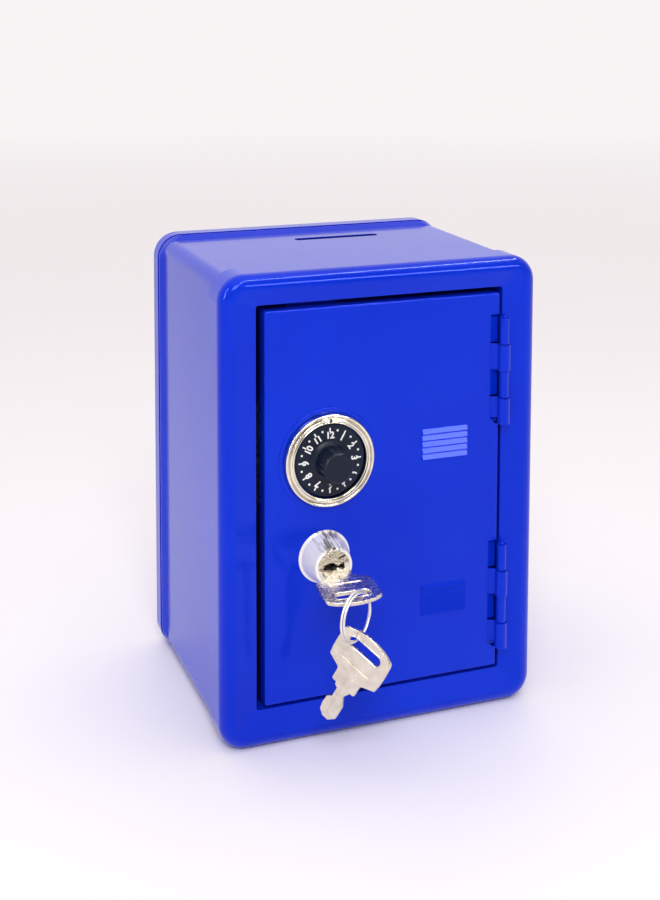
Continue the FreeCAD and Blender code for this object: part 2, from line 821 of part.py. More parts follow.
def make_rivets():
    """Four rivets, each a shank in its hole and a flat head behind the plate."""
    shanks = rivet_cylinders("rivet_shank", "rivet_radius", "door_inside", "pack_plate_sheet + 0.2")
    plate_back = "door_inside + pack_plate_sheet"
    heads = rivet_cylinders("rivet_head", "rivet_radius * 1.8", plate_back, "rivet_head")
    keep(fuse_all(shanks + heads, "rivets"), "plate_rivets")


def make_wheel(name, start, bore, pegs):
    """A tin wheel whose flat side lets the door past the frame when it faces left. Its pegs
    are (side, turn in degrees): side 1 stands on the back face and -1 on the front face."""
    body = new_body(name)
    disc = new_sketch(body, "XZ_Plane", start)
    draw_circle(disc, "0", "0", "wheel_radius")
    draw_circle(disc, "0", "0", bore)
    extrude(body, disc, "wheel_sheet")
    flat = new_sketch(body, "XZ_Plane", f"{start} - 1")
    beyond = "wheel_radius + 1"
    draw_polygon(flat, rectangle(f"-1 * ( {beyond} )", "-1 * wheel_flat", f"-1 * ( {beyond} )", beyond))
    extrude(body, flat, "wheel_sheet + 2", cut=True)
    for side, turn in pegs:
        across = f"peg_circle * {math.cos(math.radians(turn)):.5f}"
        up = f"peg_circle * {math.sin(math.radians(turn)):.5f}"
        peg = new_sketch(body, "XZ_Plane", f"{start} + wheel_sheet / 2")
        draw_circle(peg, across, up, "peg_radius")
        extrude(body, peg, "wheel_sheet / 2 + peg_length", back=side < 0)
    place_at(body, *DIAL_AXIS)
    DOC.recompute()
    keep(body, name)


PEG_STEP = 12.0
PEG_TURN = 60.0


def make_wheels():
    """Two loose wheels and the drive wheel. Each peg rests against the next wheel's peg."""
    loose = "post_radius + running_gap"
    make_wheel("combination_wheel_1", "first_wheel", loose, [(1, 0)])
    make_wheel("combination_wheel_2", "second_wheel", loose, [(-1, PEG_STEP), (1, PEG_TURN)])
    make_wheel("drive_wheel", "drive_wheel_front", "spindle_radius", [(-1, PEG_TURN + PEG_STEP)])


def make_washer():
    """A plain round washer on the post between the two loose wheels."""
    body = new_body("washer")
    outer = "post_shoulder + 0.5"
    start = "first_wheel + wheel_sheet + 0.2"
    end = "second_wheel - 0.2"
    inner = "post_radius"
    revolve(body, [(inner, start), (outer, start), (outer, end), (inner, end)], DIAL_AXIS)
    keep(body, "wheel_washer")


def hexagon_nut(name, across_flats, bore, start, length, centre):
    body = new_body(name)
    sketch = new_sketch(body, "XZ_Plane", start)
    corners = []
    for number in range(6):
        turn = math.radians(60 * number + 30)
        reach = 0.5 / math.cos(math.radians(30))
        corners.append((
            f"{across_flats} * {reach * math.cos(turn):.6f}",
            f"{across_flats} * {reach * math.sin(turn):.6f}",
        ))
    draw_polygon(sketch, corners)
    draw_circle(sketch, "0", "0", bore)
    extrude(body, sketch, length)
    place_at(body, *centre)
    DOC.recompute()
    keep(body, name)


def make_spindle_nut():
    seat = "drive_wheel_front + wheel_sheet"
    height = "spindle_nut_height"
    hexagon_nut("spindle_nut", "spindle_nut_across", "spindle_radius", seat, height, DIAL_AXIS)


# Key lock -------------------------------------------------------------------------------

def make_lock_barrel():
    """The plated barrel: a flared nose in front of the door and a threaded body behind it."""
    body = new_body("barrel")
    nose = "plug_face"
    bore = "plug_radius + running_gap"
    head = "plug_head + running_gap"
    revolve(
        body,
        [
            (bore, "lock_end"),
            ("lock_thread", "lock_end"),
            ("lock_thread", "door_front"),
            ("lock_flange", "door_front"),
            ("lock_flange", "door_front - 0.7"),
            ("lock_flange - 0.5", "door_front - 1.2"),
            ("lock_flange - 1.4", "door_front - 2.6"),
            ("lock_nose + 0.5", f"{nose} + 1.8"),
            ("lock_nose", f"{nose} + 0.5"),
            ("lock_nose - 0.6", nose),
            (head, nose),
            (head, f"{nose} + plug_head_depth + 0.1"),
            (bore, f"{nose} + plug_head_depth + 0.1"),
        ],
        LOCK_AXIS,
    )
    keep(body, "lock_barrel")


def make_lock_plug():
    """The plug that the key turns: a head, a cylinder with the keyway, and a neck for the cam."""
    body = new_body("plug")
    neck_end = "cam_front + cam_sheet"
    revolve(
        body,
        [
            ("0", "plug_face + 0.2"),
            ("plug_head", "plug_face + 0.2"),
            ("plug_head", "plug_face + plug_head_depth"),
            ("plug_radius", "plug_face + plug_head_depth"),
            ("plug_radius", "lock_end + 0.2"),
            ("plug_neck", "lock_end + 0.2"),
            ("plug_neck", neck_end),
            ("0", neck_end),
        ],
        LOCK_AXIS,
    )
    keyway = new_sketch(body, "XZ_Plane", "plug_face - 1")
    draw_polygon(keyway, centred("keyway_width", "keyway_height"))
    extrude(body, keyway, "key_blade + 1.6", cut=True)
    tapped = new_sketch(body, "XZ_Plane", f"{neck_end} - 4")
    draw_circle(tapped, "0", "0", "cam_screw_shank")
    extrude(body, tapped, "5", cut=True)
    keep(body, "lock_plug")


def make_lock_cam():
    """The bolt: a flat arm that hangs down and turns behind the frame's left flange."""
    body = new_body("cam")
    sketch = new_sketch(body, "XZ_Plane", "cam_front")
    half = "cam_half_width"
    draw_rounded(sketch, f"-1 * {half}", half, "-1 * cam_reach", half, f"{half} * 0.9")
    draw_circle(sketch, "0", "0", "plug_neck")
    extrude(body, sketch, "cam_sheet")
    place_at(body, *LOCK_AXIS)
    DOC.recompute()
    keep(body, "lock_cam")


def make_cam_screw():
    body = new_body("screw")
    start = "cam_front + cam_sheet"
    revolve(
        body,
        [
            ("0", f"{start} - 3.6"),
            ("cam_screw_shank", f"{start} - 3.6"),
            ("cam_screw_shank", start),
            ("cam_screw_head", start),
            ("cam_screw_head", f"{start} + 0.9"),
            ("cam_screw_head * 0.6", f"{start} + 1.8"),
            ("0", f"{start} + 1.8"),
        ],
        LOCK_AXIS,
    )
    for width, height in (("4.6", "0.9"), ("0.9", "4.6")):
        cross = new_sketch(body, "XZ_Plane", f"{start} + 1")
        draw_polygon(cross, centred(width, height))
        extrude(body, cross, "2", cut=True)
    keep(body, "cam_screw")


# Keys and ring --------------------------------------------------------------------------

def key_body(name):
    """A flat key in its own frame: the blade along +Y from the collar's end, the bow towards
    -Y, and the sheet's middle on the XY plane."""
    body = new_body(name)
    start = "-1 * key_sheet / 2"
    crown = "-1 * ( key_collar + key_bow )"
    outline = new_sketch(body, "XY_Plane", start)
    bow = [
        ("key_bow_half * 0.45", f"{crown} + 0.5"),
        ("key_bow_half - 0.6", f"{crown} + key_bow_crown"),
        ("key_bow_half", f"{crown} + key_bow * 0.58"),
        ("key_bow_half - 0.5", "-1 * key_collar - 2.1"),
        ("key_collar_half + 0.5", "-1 * key_collar"),
        ("key_collar_half", "-1 * key_collar + 0.7"),
        ("key_collar_half", "-0.6"),
        ("key_collar_half - 0.6", "0"),
    ]
    right_bits = [
        ("key_neck_half + 1.2", "0"),
        ("key_neck_half + 1.2", "0.9"),
        ("key_neck_half - 0.2", "1.7"),
        ("key_neck_half - 0.2", "5.6"),
        ("key_blade_half - 0.4", "7.1"),
        ("key_blade_half - 0.2", "10.6"),
        ("key_blade_half - 0.6", "key_blade - 1.8"),
        ("key_blade_half * 0.3", "key_blade"),
    ]
    left_bits = [
        ("-1 * key_blade_half * 0.4", "key_blade"),
        ("-1 * key_blade_half", "key_blade - 2.5"),
        ("-1 * key_blade_half", "7"),
        ("-1 * key_neck_half", "3.1"),
        ("-1 * key_neck_half - 1.6", "0"),
    ]
    mirrored = [(f"-1 * ( {across} )", along) for across, along in reversed(bow)]
    draw_polygon(outline, [("0", crown)] + bow + right_bits + left_bits + mirrored)
    extrude(body, outline, "key_sheet")
    slot = new_sketch(body, "XY_Plane", start)
    low = f"( {crown} + key_bar )"
    high = f"( {crown} + key_bar + key_slot_width )"
    draw_rounded(slot, "-1 * key_slot_half", "key_slot_half", low, high, "key_slot_width * 0.48")
    extrude(body, slot, "key_sheet", cut=True)
    sunk = "( key_sheet / 2 - key_mark_sink )"
    mark_low = "-1 * ( key_collar + key_mark_from_collar + key_mark_width )"
    mark_high = "-1 * ( key_collar + key_mark_from_collar )"
    for up, back in ((sunk, False), (f"-1 * {sunk}", True)):
        mark = new_sketch(body, "XY_Plane", up)
        draw_polygon(mark, rectangle("-1 * key_mark_half", "key_mark_half", mark_low, mark_high))
        extrude(body, mark, "1", cut=True, back=back)
        groove = new_sketch(body, "XY_Plane", up)
        draw_polygon(groove, rectangle("-1 * key_groove / 2", "key_groove / 2", "-1.5", "key_blade - 1"))
        extrude(body, groove, "1", cut=True, back=back)
    return body


def make_key_in_lock():
    """The key droops in its loose keyway, its tip up and its bow down."""
    body = key_body("key")
    place_at(
        body,
        "lock_across",
        "plug_face - key_out * cos(key_droop)",
        "lock_up + key_rise - key_out * sin(key_droop)",
    )
    body.Placement.Rotation = FreeCAD.Rotation(FreeCAD.Vector(1, 0, 0), value("key_droop"))
    DOC.recompute()
    keep(body, "key_in_lock")


def ring_directions():
    """The ring's level direction in its own plane, and its axis."""
    yaw = math.radians(value("ring_yaw"))
    level = FreeCAD.Vector(math.cos(yaw), math.sin(yaw), 0)
    axis = FreeCAD.Vector(-math.sin(yaw), math.cos(yaw), 0)
    return level, axis


def ring_centre():
    """The ring crosses the middle of the key's slot at its right end, and hangs below it."""
    level, _ = ring_directions()
    crossing = FreeCAD.Vector(
        value("lock_across + key_slot_half - key_slot_width / 2"),
        value("plug_face - ( key_out + slot_out ) * cos(key_droop)"),
        value("lock_up + key_rise - ( key_out + slot_out ) * sin(key_droop) - ring_below"),
    )
    return crossing - level * value("ring_to_slot")


def make_key_ring():
    """A split ring: two turns of wire side by side."""
    _, axis = ring_directions()
    centre = ring_centre()
    turns = []
    for side in (-1, 1):
        turn = DOC.addObject("Part::Torus", "turn")
        bind(turn, "Radius1", "ring_radius")
        bind(turn, "Radius2", "ring_wire")
        rotation = FreeCAD.Rotation(FreeCAD.Vector(0, 0, 1), axis)
        shift = axis * (side * value("ring_wire") * 0.9)
        turn.Placement = FreeCAD.Placement(centre + shift, rotation)
        turns.append(turn)
    keep(fuse_all(turns, "ring_turns"), "key_ring")


def make_spare_key():
    """Hangs from the ring's lowest point by the upper left end of its slot, blade down."""
    body = key_body("spare")
    yaw = math.radians(value("spare_yaw"))
    lean = math.radians(value("spare_lean"))
    left = FreeCAD.Vector(-math.cos(yaw), math.sin(yaw), 0)
    blade = left * math.sin(lean) + FreeCAD.Vector(0, 0, -math.cos(lean))
    face = FreeCAD.Vector(-math.sin(yaw), -math.cos(yaw), 0)
    across = blade.cross(face)
    turned = FreeCAD.Rotation(across, blade, face)
    hang = FreeCAD.Vector(value("hang_across"), -value("slot_out + spare_hang"), 0)
    bottom = ring_centre() - FreeCAD.Vector(0, 0, value("ring_radius"))
    body.Placement = FreeCAD.Placement(bottom - turned.multVec(hang), turned)
    DOC.recompute()
    keep(body, "spare_key")


# The whole ------------------------------------------------------------------------------

def make_all():
    make_body_shell()
    make_front_frame()
    make_back_panel()
    make_door_panel()
    make_hinge("lower", "hinge_lower")
    make_hinge("upper", "hinge_upper")
    make_dial_ring()
    make_combination_dial()
    make_spindle()
    make_pack_plate()
    make_rivets()
    make_washer()
    make_wheels()
    make_spindle_nut()
    make_lock_barrel()
    hexagon_nut("lock_nut", "lock_nut_across", "lock_thread", "door_inside", "lock_nut_height", LOCK_AXIS)
    make_lock_plug()
    make_lock_cam()
    make_cam_screw()
    make_key_in_lock()
    make_key_ring()
    make_spare_key()


def check_all():
    """Stops before anything is written if an object failed or a sub-part isn't sound."""
    for thing in DOC.Objects:
        if "Invalid" in thing.State or "Error" in thing.State:
            raise RuntimeError(f"{thing.Name} ({thing.Label}) is in state {thing.State}")
    for node in NODES:
        if node.Shape.isNull() or not node.Shape.isValid() or not node.Shape.Solids:
            raise RuntimeError(f"{node.Label} has no valid solid")


def write_all():
    os.makedirs("parts", exist_ok=True)
    for node in NODES:
        node.Shape.exportStep(f"parts/{node.Label}.step")
        bounds = node.Shape.BoundBox
        print(
            f"{node.Label:26s} solids {len(node.Shape.Solids)}  volume {node.Shape.Volume:9.1f}  "
            f"x {bounds.XMin:7.2f} {bounds.XMax:7.2f}  y {bounds.YMin:7.2f} {bounds.YMax:7.2f}  "
            f"z {bounds.ZMin:7.2f} {bounds.ZMax:7.2f}"
        )


make_all()
DOC.recompute()
check_all()
write_all()
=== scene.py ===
import json
import math

import bmesh
import bpy
from mathutils import Matrix, Vector


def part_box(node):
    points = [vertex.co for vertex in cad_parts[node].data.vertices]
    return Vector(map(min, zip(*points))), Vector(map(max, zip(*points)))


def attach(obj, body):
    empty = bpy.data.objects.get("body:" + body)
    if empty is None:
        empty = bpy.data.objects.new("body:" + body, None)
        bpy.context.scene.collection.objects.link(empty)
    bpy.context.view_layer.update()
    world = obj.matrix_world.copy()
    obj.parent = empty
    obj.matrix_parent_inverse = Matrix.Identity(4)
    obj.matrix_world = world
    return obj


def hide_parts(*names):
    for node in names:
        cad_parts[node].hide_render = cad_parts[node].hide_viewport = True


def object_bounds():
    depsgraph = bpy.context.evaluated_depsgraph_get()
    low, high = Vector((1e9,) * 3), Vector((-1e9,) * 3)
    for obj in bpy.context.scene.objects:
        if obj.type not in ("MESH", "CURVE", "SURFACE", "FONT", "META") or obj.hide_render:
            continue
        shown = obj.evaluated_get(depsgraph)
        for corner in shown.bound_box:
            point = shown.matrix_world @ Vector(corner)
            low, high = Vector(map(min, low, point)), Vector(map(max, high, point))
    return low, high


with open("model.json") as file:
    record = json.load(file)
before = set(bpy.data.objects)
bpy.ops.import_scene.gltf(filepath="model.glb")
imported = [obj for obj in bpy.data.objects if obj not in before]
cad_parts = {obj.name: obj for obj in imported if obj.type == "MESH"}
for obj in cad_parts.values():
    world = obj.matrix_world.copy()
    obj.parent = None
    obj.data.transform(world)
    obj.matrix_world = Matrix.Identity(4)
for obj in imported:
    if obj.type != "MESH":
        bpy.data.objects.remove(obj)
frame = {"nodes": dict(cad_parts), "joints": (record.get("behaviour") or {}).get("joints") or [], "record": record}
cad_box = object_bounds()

# A tin money box like a small safe, in blue enamel, with a black combination dial, a plated
# key lock, and two keys on a split ring. Sizes are in metres, in the CAD model's frame, where
# the front faces -Y. MM turns a size in millimetres into metres.

MM = 0.001
NODES = frame["nodes"]
JOINTS = {joint["name"]: joint for joint in frame["joints"]}


# Node helpers -----------------------------------------------------------------------------

def put(tree, socket, value):
    """Links a socket to another one, or sets its value."""
    if isinstance(value, bpy.types.NodeSocket):
        tree.links.new(value, socket)
    else:
        socket.default_value = value


def add(tree, kind, inputs=None, **settings):
    """A shader node with its settings and its input values or links."""
    node = tree.nodes.new(kind)
    for name, value in settings.items():
        setattr(node, name, value)
    for name, value in (inputs or {}).items():
        put(tree, node.inputs[name], value)
    return node


def maths(tree, operation, first, second=0.0):
    node = add(tree, "ShaderNodeMath", operation=operation)
    put(tree, node.inputs[0], first)
    put(tree, node.inputs[1], second)
    return node.outputs[0]


def remap(tree, value, low, high, to_low, to_high):
    node = add(tree, "ShaderNodeMapRange", {"Value": value, "From Min": low, "From Max": high})
    put(tree, node.inputs["To Min"], to_low)
    put(tree, node.inputs["To Max"], to_high)
    return node.outputs["Result"]


def mix_colour(tree, factor, first, second):
    node = add(tree, "ShaderNodeMix", data_type="RGBA")
    put(tree, node.inputs[0], factor)
    put(tree, node.inputs[6], first)
    put(tree, node.inputs[7], second)
    return node.outputs[2]


def coordinates(tree, scale=(1, 1, 1)):
    """The piece's own coordinates, in metres."""
    place = add(tree, "ShaderNodeTexCoord")
    inputs = {"Vector": place.outputs["Object"], "Scale": scale}
    return add(tree, "ShaderNodeMapping", inputs).outputs["Vector"]


def noise(tree, vector, scale, detail=3.0, rough=0.55):
    inputs = {"Vector": vector, "Scale": scale, "Detail": detail, "Roughness": rough}
    return add(tree, "ShaderNodeTexNoise", inputs).outputs["Fac"]


def bump(tree, height, strength, distance, before=None):
    inputs = {"Height": height, "Strength": strength, "Distance": distance}
    if before is not None:
        inputs["Normal"] = before
    return add(tree, "ShaderNodeBump", inputs).outputs["Normal"]


def linear(red, green, blue):
    """A colour for a shader from its usual 0 to 255 values."""

    def channel(value):
        share = value / 255
        return share / 12.92 if share <= 0.04045 else ((share + 0.055) / 1.055) ** 2.4

    return (channel(red), channel(green), channel(blue), 1.0)


def new_material(name):
    material = bpy.data.materials.new(name)
    material.use_nodes = True
    tree = material.node_tree
    tree.nodes.clear()
    output = add(tree, "ShaderNodeOutputMaterial")
    shader = add(tree, "ShaderNodeBsdfPrincipled")
    tree.links.new(shader.outputs["BSDF"], output.inputs["Surface"])
    return material, tree, shader


# Materials --------------------------------------------------------------------------------

def make_enamel():
    """Glossy blue stoving enamel on thin tin. Its gloss is tinted by the blue when it is seen
    straight on, and white at a grazing angle. A faint orange peel and the slight waves of the
    sheet break up the reflections, and fine dust lies on it."""
    material, tree, shader = new_material("blue_enamel")
    where = coordinates(tree)
    broad = remap(tree, noise(tree, where, 16.0, 2.0), 0.3, 0.7, 0.0, 1.0)
    tone = mix_colour(tree, broad, linear(2, 42, 196), linear(6, 50, 206))
    specks = remap(tree, noise(tree, where, 1700.0, 1.0), 0.76, 0.80, 0.0, 0.3)
    put(tree, shader.inputs["Base Color"], mix_colour(tree, specks, tone, linear(70, 105, 225)))
    put(tree, shader.inputs["Roughness"], remap(tree, noise(tree, where, 700.0, 2.0), 0.3, 0.7, 0.1, 0.16))
    shader.inputs["IOR"].default_value = 2.0
    shader.inputs["Specular Tint"].default_value = (0.03, 0.06, 0.7, 1.0)
    shader.inputs["Coat Weight"].default_value = 0.12
    shader.inputs["Coat Roughness"].default_value = 0.08
    peel = bump(tree, noise(tree, where, 420.0, 2.0), 0.08, 0.0002)
    sheet = bump(tree, noise(tree, where, 24.0, 1.0), 0.12, 0.0011, peel)
    put(tree, shader.inputs["Normal"], sheet)
    return material


def make_dark_enamel():
    """Painted shade: a deeper, less glossy blue that draws the shade along the seam behind the frame's skirt."""
    material, tree, shader = new_material("painted_seam_shade_enamel")
    where = coordinates(tree)
    tone = mix_colour(tree, noise(tree, where, 300.0), linear(3, 14, 104), linear(8, 30, 150))
    put(tree, shader.inputs["Base Color"], tone)
    put(tree, shader.inputs["Roughness"], remap(tree, noise(tree, where, 900.0), 0.3, 0.7, 0.3, 0.45))
    shader.inputs["Specular IOR Level"].default_value = 0.2
    put(tree, shader.inputs["Normal"], bump(tree, noise(tree, where, 500.0), 0.1, 0.0001))
    return material


def make_metal(name, light, dark, rough, grain_scale, grain, stretch=(1, 1, 1)):
    """Plated or bare metal: mottled colour, uneven gloss, fine grain and a few nicks."""
    material, tree, shader = new_material(name)
    where = coordinates(tree)
    mottle = remap(tree, noise(tree, where, 190.0, 4.0), 0.3, 0.7, 0.0, 1.0)
    put(tree, shader.inputs["Base Color"], mix_colour(tree, mottle, light, dark))
    shader.inputs["Metallic"].default_value = 1.0
    uneven = noise(tree, where, 800.0)
    put(tree, shader.inputs["Roughness"], remap(tree, uneven, 0.3, 0.7, rough * 0.75, rough * 1.3))
    lines = noise(tree, coordinates(tree, stretch), grain_scale, 4.0)
    nicks = remap(tree, noise(tree, where, 1100.0, 1.0), 0.72, 0.8, 0.0, 1.0)
    first = bump(tree, lines, grain, 0.00008)
    put(tree, shader.inputs["Normal"], bump(tree, nicks, 0.2, 0.00005, first))
    return material


SATIN_METALLIC = 0.12


def make_satin():
    """The barrel's satin nickel, which scatters most of the light. Polishing streaks run along
    it, and on its top they are darkened as a painted reflection. The piece's origin is on the barrel's axis."""
    material, tree, shader = new_material("satin_nickel")
    where = coordinates(tree)
    streaks = noise(tree, coordinates(tree, (1, 0.03, 1)), 620.0, 3.0)
    round_axis = coordinates(tree, (1, 0, 1))
    way = add(tree, "ShaderNodeVectorMath", {0: round_axis}, operation="NORMALIZE").outputs["Vector"]
    upward = add(tree, "ShaderNodeSeparateXYZ", {"Vector": way}).outputs["Z"]
    # painted reflection: the streaks are darkened only on the barrel's top, where dark surroundings would reflect
    painted_reflection_on_top = remap(tree, upward, 0.72, 0.97, 0.05, 1.0)
    dark = maths(tree, "MULTIPLY", remap(tree, streaks, 0.44, 0.56, 0.0, 0.85), painted_reflection_on_top)
    tone = mix_colour(tree, dark, linear(248, 246, 240), linear(92, 82, 70))
    put(tree, shader.inputs["Base Color"], tone)
    shader.inputs["Metallic"].default_value = SATIN_METALLIC
    put(tree, shader.inputs["Roughness"], remap(tree, noise(tree, where, 700.0), 0.3, 0.7, 0.16, 0.26))
    put(tree, shader.inputs["Normal"], bump(tree, streaks, 0.06, 0.0001))
    return material


def make_stipple():
    """The key bow's field, stamped all over with fine pits, each pit's middle darkened as painted shade."""
    material, tree, shader = new_material("key_stipple")
    where = coordinates(tree)
    cells = add(tree, "ShaderNodeTexVoronoi", {"Vector": where, "Scale": 2300.0}).outputs["Distance"]
    # painted shade: the colour is darkest in the middle of each pit
    painted_pit_shade = remap(tree, cells, 0.1, 0.7, 0.0, 1.0)
    tone = mix_colour(tree, painted_pit_shade, linear(118, 111, 99), linear(216, 208, 194))
    put(tree, shader.inputs["Base Color"], tone)
    shader.inputs["Metallic"].default_value = 1.0
    put(tree, shader.inputs["Roughness"], remap(tree, noise(tree, where, 900.0), 0.3, 0.7, 0.36, 0.48))
    put(tree, shader.inputs["Normal"], bump(tree, cells, 1.0, 0.0002))
    return material


def make_dial_plastic():
    """Black moulded plastic with a satin gloss and fine wipe marks."""
    material, tree, shader = new_material("dial_plastic")
    where = coordinates(tree)
    tone = mix_colour(tree, noise(tree, where, 260.0), linear(5, 14, 31), linear(15, 30, 54))
    put(tree, shader.inputs["Base Color"], tone)
    put(tree, shader.inputs["Roughness"], remap(tree, noise(tree, where, 600.0), 0.3, 0.7, 0.3, 0.42))
    shader.inputs["Specular IOR Level"].default_value = 0.22
    scratches = noise(tree, coordinates(tree, (1.0, 1.0, 9.0)), 500.0, 3.0)
    put(tree, shader.inputs["Normal"], bump(tree, scratches, 0.08, 0.0001))
    return material


def make_print():
    """White pad-printed ink, slightly uneven."""
    material, tree, shader = new_material("white_print")
    where = coordinates(tree)
    tone = mix_colour(tree, noise(tree, where, 1500.0), linear(252, 252, 250), linear(232, 234, 236))
    put(tree, shader.inputs["Base Color"], tone)
    put(tree, shader.inputs["Roughness"], remap(tree, noise(tree, where, 2500.0), 0.3, 0.7, 0.35, 0.55))
    return material


def make_recess():
    """Dark grey: painted shade for the inside of a small slot, and the tone of the ring's dark index marks."""
    material, tree, shader = new_material("slot_shade_and_marks")
    where = coordinates(tree)
    tone = mix_colour(tree, noise(tree, where, 900.0), linear(16, 16, 17), linear(40, 38, 36))
    put(tree, shader.inputs["Base Color"], tone)
    put(tree, shader.inputs["Roughness"], remap(tree, noise(tree, where, 1400.0), 0.3, 0.7, 0.6, 0.85))
    return material


ROOM = (1.0, 0.955, 0.96, 1.0)
ROOM_BEHIND = 0.94
FADE_START = 0.4
FADE_END = 2.2


def make_floor_paint():
    """Pale paint that fades into the tone of the room far away, so no edge shows."""
    material, tree, shader = new_material("floor")
    patches = noise(tree, coordinates(tree), 3.0)
    tone = mix_colour(tree, patches, linear(247, 243, 245), linear(250, 247, 248))
    put(tree, shader.inputs["Base Color"], tone)
    shader.inputs["Roughness"].default_value = 0.5
    shader.inputs["Specular IOR Level"].default_value = 0.25
    away = add(tree, "ShaderNodeVectorMath", {0: coordinates(tree)}, operation="LENGTH").outputs["Value"]
    wall = add(tree, "ShaderNodeEmission", {"Color": ROOM, "Strength": ROOM_BEHIND}).outputs[0]
    blend = add(tree, "ShaderNodeMixShader", {0: remap(tree, away, FADE_START, FADE_END, 0.0, 1.0)})
    put(tree, blend.inputs[1], shader.outputs[0])
    put(tree, blend.inputs[2], wall)
    put(tree, tree.nodes["Material Output"].inputs["Surface"], blend.outputs[0])
    return material


ENAMEL = make_enamel()
SEAM_SHADE_ENAMEL = make_dark_enamel()
NICKEL = make_metal(
    "nickel_plate", linear(233, 228, 216), linear(212, 206, 192),
    rough=0.13, grain_scale=900.0, grain=0.12,
)
KEY_NICKEL = make_metal(
    "key_nickel", linear(224, 216, 204), linear(198, 190, 177),
    rough=0.24, grain_scale=700.0, grain=0.3, stretch=(5, 1, 1),
)
RING_STEEL = make_metal(
    "ring_steel", linear(244, 241, 234), linear(222, 218, 210),
    rough=0.34, grain_scale=900.0, grain=0.15,
)
ZINC = make_metal(
    "zinc_steel", linear(196, 200, 204), linear(170, 174, 176),
    rough=0.3, grain_scale=500.0, grain=0.5, stretch=(1, 1, 7),
)
RIVET = make_metal(
    "rivet_metal", linear(206, 207, 209), linear(182, 183, 186),
    rough=0.3, grain_scale=700.0, grain=0.4,
)
BRASS = make_metal(
    "brass_washer", linear(218, 184, 108), linear(188, 152, 82),
    rough=0.26, grain_scale=700.0, grain=0.3,
)
SATIN = make_satin()
STIPPLE = make_stipple()
# painted shade: a dark metal for the key's groove, the walls of its sunk field and its ribs
KEY_SHADE_METAL = make_metal(
    "key_groove", linear(72, 66, 58), linear(48, 44, 38),
    rough=0.45, grain_scale=700.0, grain=0.3,
)
DIAL = make_dial_plastic()
PRINT = make_print()
SLOT_SHADE_AND_MARKS = make_recess()

BY_SLOT = {
    "blue_enamel": ENAMEL,
    "nickel_plate": NICKEL,
    "key_nickel": KEY_NICKEL,
    "ring_steel": RING_STEEL,
    "zinc_steel": ZINC,
    "rivet_metal": RIVET,
    "brass_washer": BRASS,
    "dial_plastic": DIAL,
}


def finish_cad_nodes():
    """Every CAD node gets the material of its slot."""
    for part in frame["record"]["subparts"]:
        node = NODES[part["node"]]
        node.data.materials.clear()
        node.data.materials.append(BY_SLOT[part["material_slot"]])


# Pieces -----------------------------------------------------------------------------------

def link_object(name, data):
    thing = bpy.data.objects.new(name, data)
    bpy.context.scene.collection.objects.link(thing)
    return thing


def own(piece, body, slot, *materials):
    piece.data.materials.clear()
    for material in materials:
        piece.data.materials.append(material)
    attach(piece, body)
    return piece


def mesh_of(thing):
    """The final mesh of an object with its modifiers, which then takes the object's place."""
    bpy.context.view_layer.update()
    settled = thing.evaluated_get(bpy.context.evaluated_depsgraph_get())
    mesh = bpy.data.meshes.new_from_object(settled)
    bpy.data.objects.remove(thing)
    return mesh


def turned(name, profile, centre, segments=128):
    """A mesh turned about an axis along Y from a closed profile of (radius, place along Y)."""
    shape = bmesh.new()
    rings = []
    for step in range(segments):
        turn = 2 * math.pi * step / segments
        across, up = math.cos(turn), math.sin(turn)
        rings.append([
            shape.verts.new((radius * MM * across, along * MM, radius * MM * up))
            for radius, along in profile
        ])
    for step, ring in enumerate(rings):
        following = rings[(step + 1) % segments]
        for number in range(len(profile)):
            beside = (number + 1) % len(profile)
            shape.faces.new((ring[number], ring[beside], following[beside], following[number]))
    bmesh.ops.recalc_face_normals(shape, faces=shape.faces)
    mesh = bpy.data.meshes.new(name)
    shape.to_mesh(mesh)
    shape.free()
    mesh.shade_smooth()
    mesh.set_sharp_from_angle(angle=math.radians(35))
    piece = link_object(name, mesh)
    piece.location = centre
    return piece


def arc(radius, start, end, steps, centre=(0.0, 0.0)):
    """Points along an arc, angles in degrees."""
    points = []
    for step in range(steps + 1):
        turn = math.radians(start + (end - start) * step / steps)
        points.append((centre[0] + radius * math.cos(turn), centre[1] + radius * math.sin(turn)))
    return points


def axis_place(node, along):
    """A point on the axis of a node that is turned about Y."""
    low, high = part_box(node)
    return Vector(((low.x + high.x) / 2, along, (low.z + high.z) / 2))


# Case details -----------------------------------------------------------------------------

SKIRT = 16.0 * MM
HEM_WIRE = 0.4 * MM
HEM_CLEAR = 0.1 * MM
CASE_CORNER = 10.0 * MM
CORNER_STEPS = 12
KNUCKLE_GAP = 0.3
WEB_REACH = 4.3
WEB_CLEAR = 1.0
WEB_SUNK = 2.4
WEB_THICKNESS = 0.6
WEB_FOOT = 2.0


def make_hem():
    """The wired edge of the front frame's skirt, a thin round bead all the way round. Its deeper
    blue is painted shade along the seam.
    """
    low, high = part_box("front_frame")
    inset = HEM_WIRE + HEM_CLEAR
    radius = CASE_CORNER - inset
    across, up = high.x - inset - radius, high.z - inset - radius
    down = low.z + inset + radius
    corners = [(across, up), (-across, up), (-across, down), (across, down)]
    points = []
    for number, corner in enumerate(corners):
        points += arc(radius, 90 * number, 90 * number + 90, CORNER_STEPS, corner)
    curve = bpy.data.curves.new("skirt_hem", "CURVE")
    curve.dimensions = "3D"
    curve.bevel_depth = HEM_WIRE
    curve.bevel_resolution = 3
    spline = curve.splines.new("POLY")
    spline.points.add(len(points) - 1)
    for point, (side, height) in zip(spline.points, points):
        point.co = (side, low.y + SKIRT + HEM_WIRE * 0.5, height, 1)
    spline.use_cyclic_u = True
    # painted shade: the bead's deeper blue stands for the shadow along the skirt's seam
    own(link_object("skirt_hem", curve), "case", "blue_enamel", SEAM_SHADE_ENAMEL)


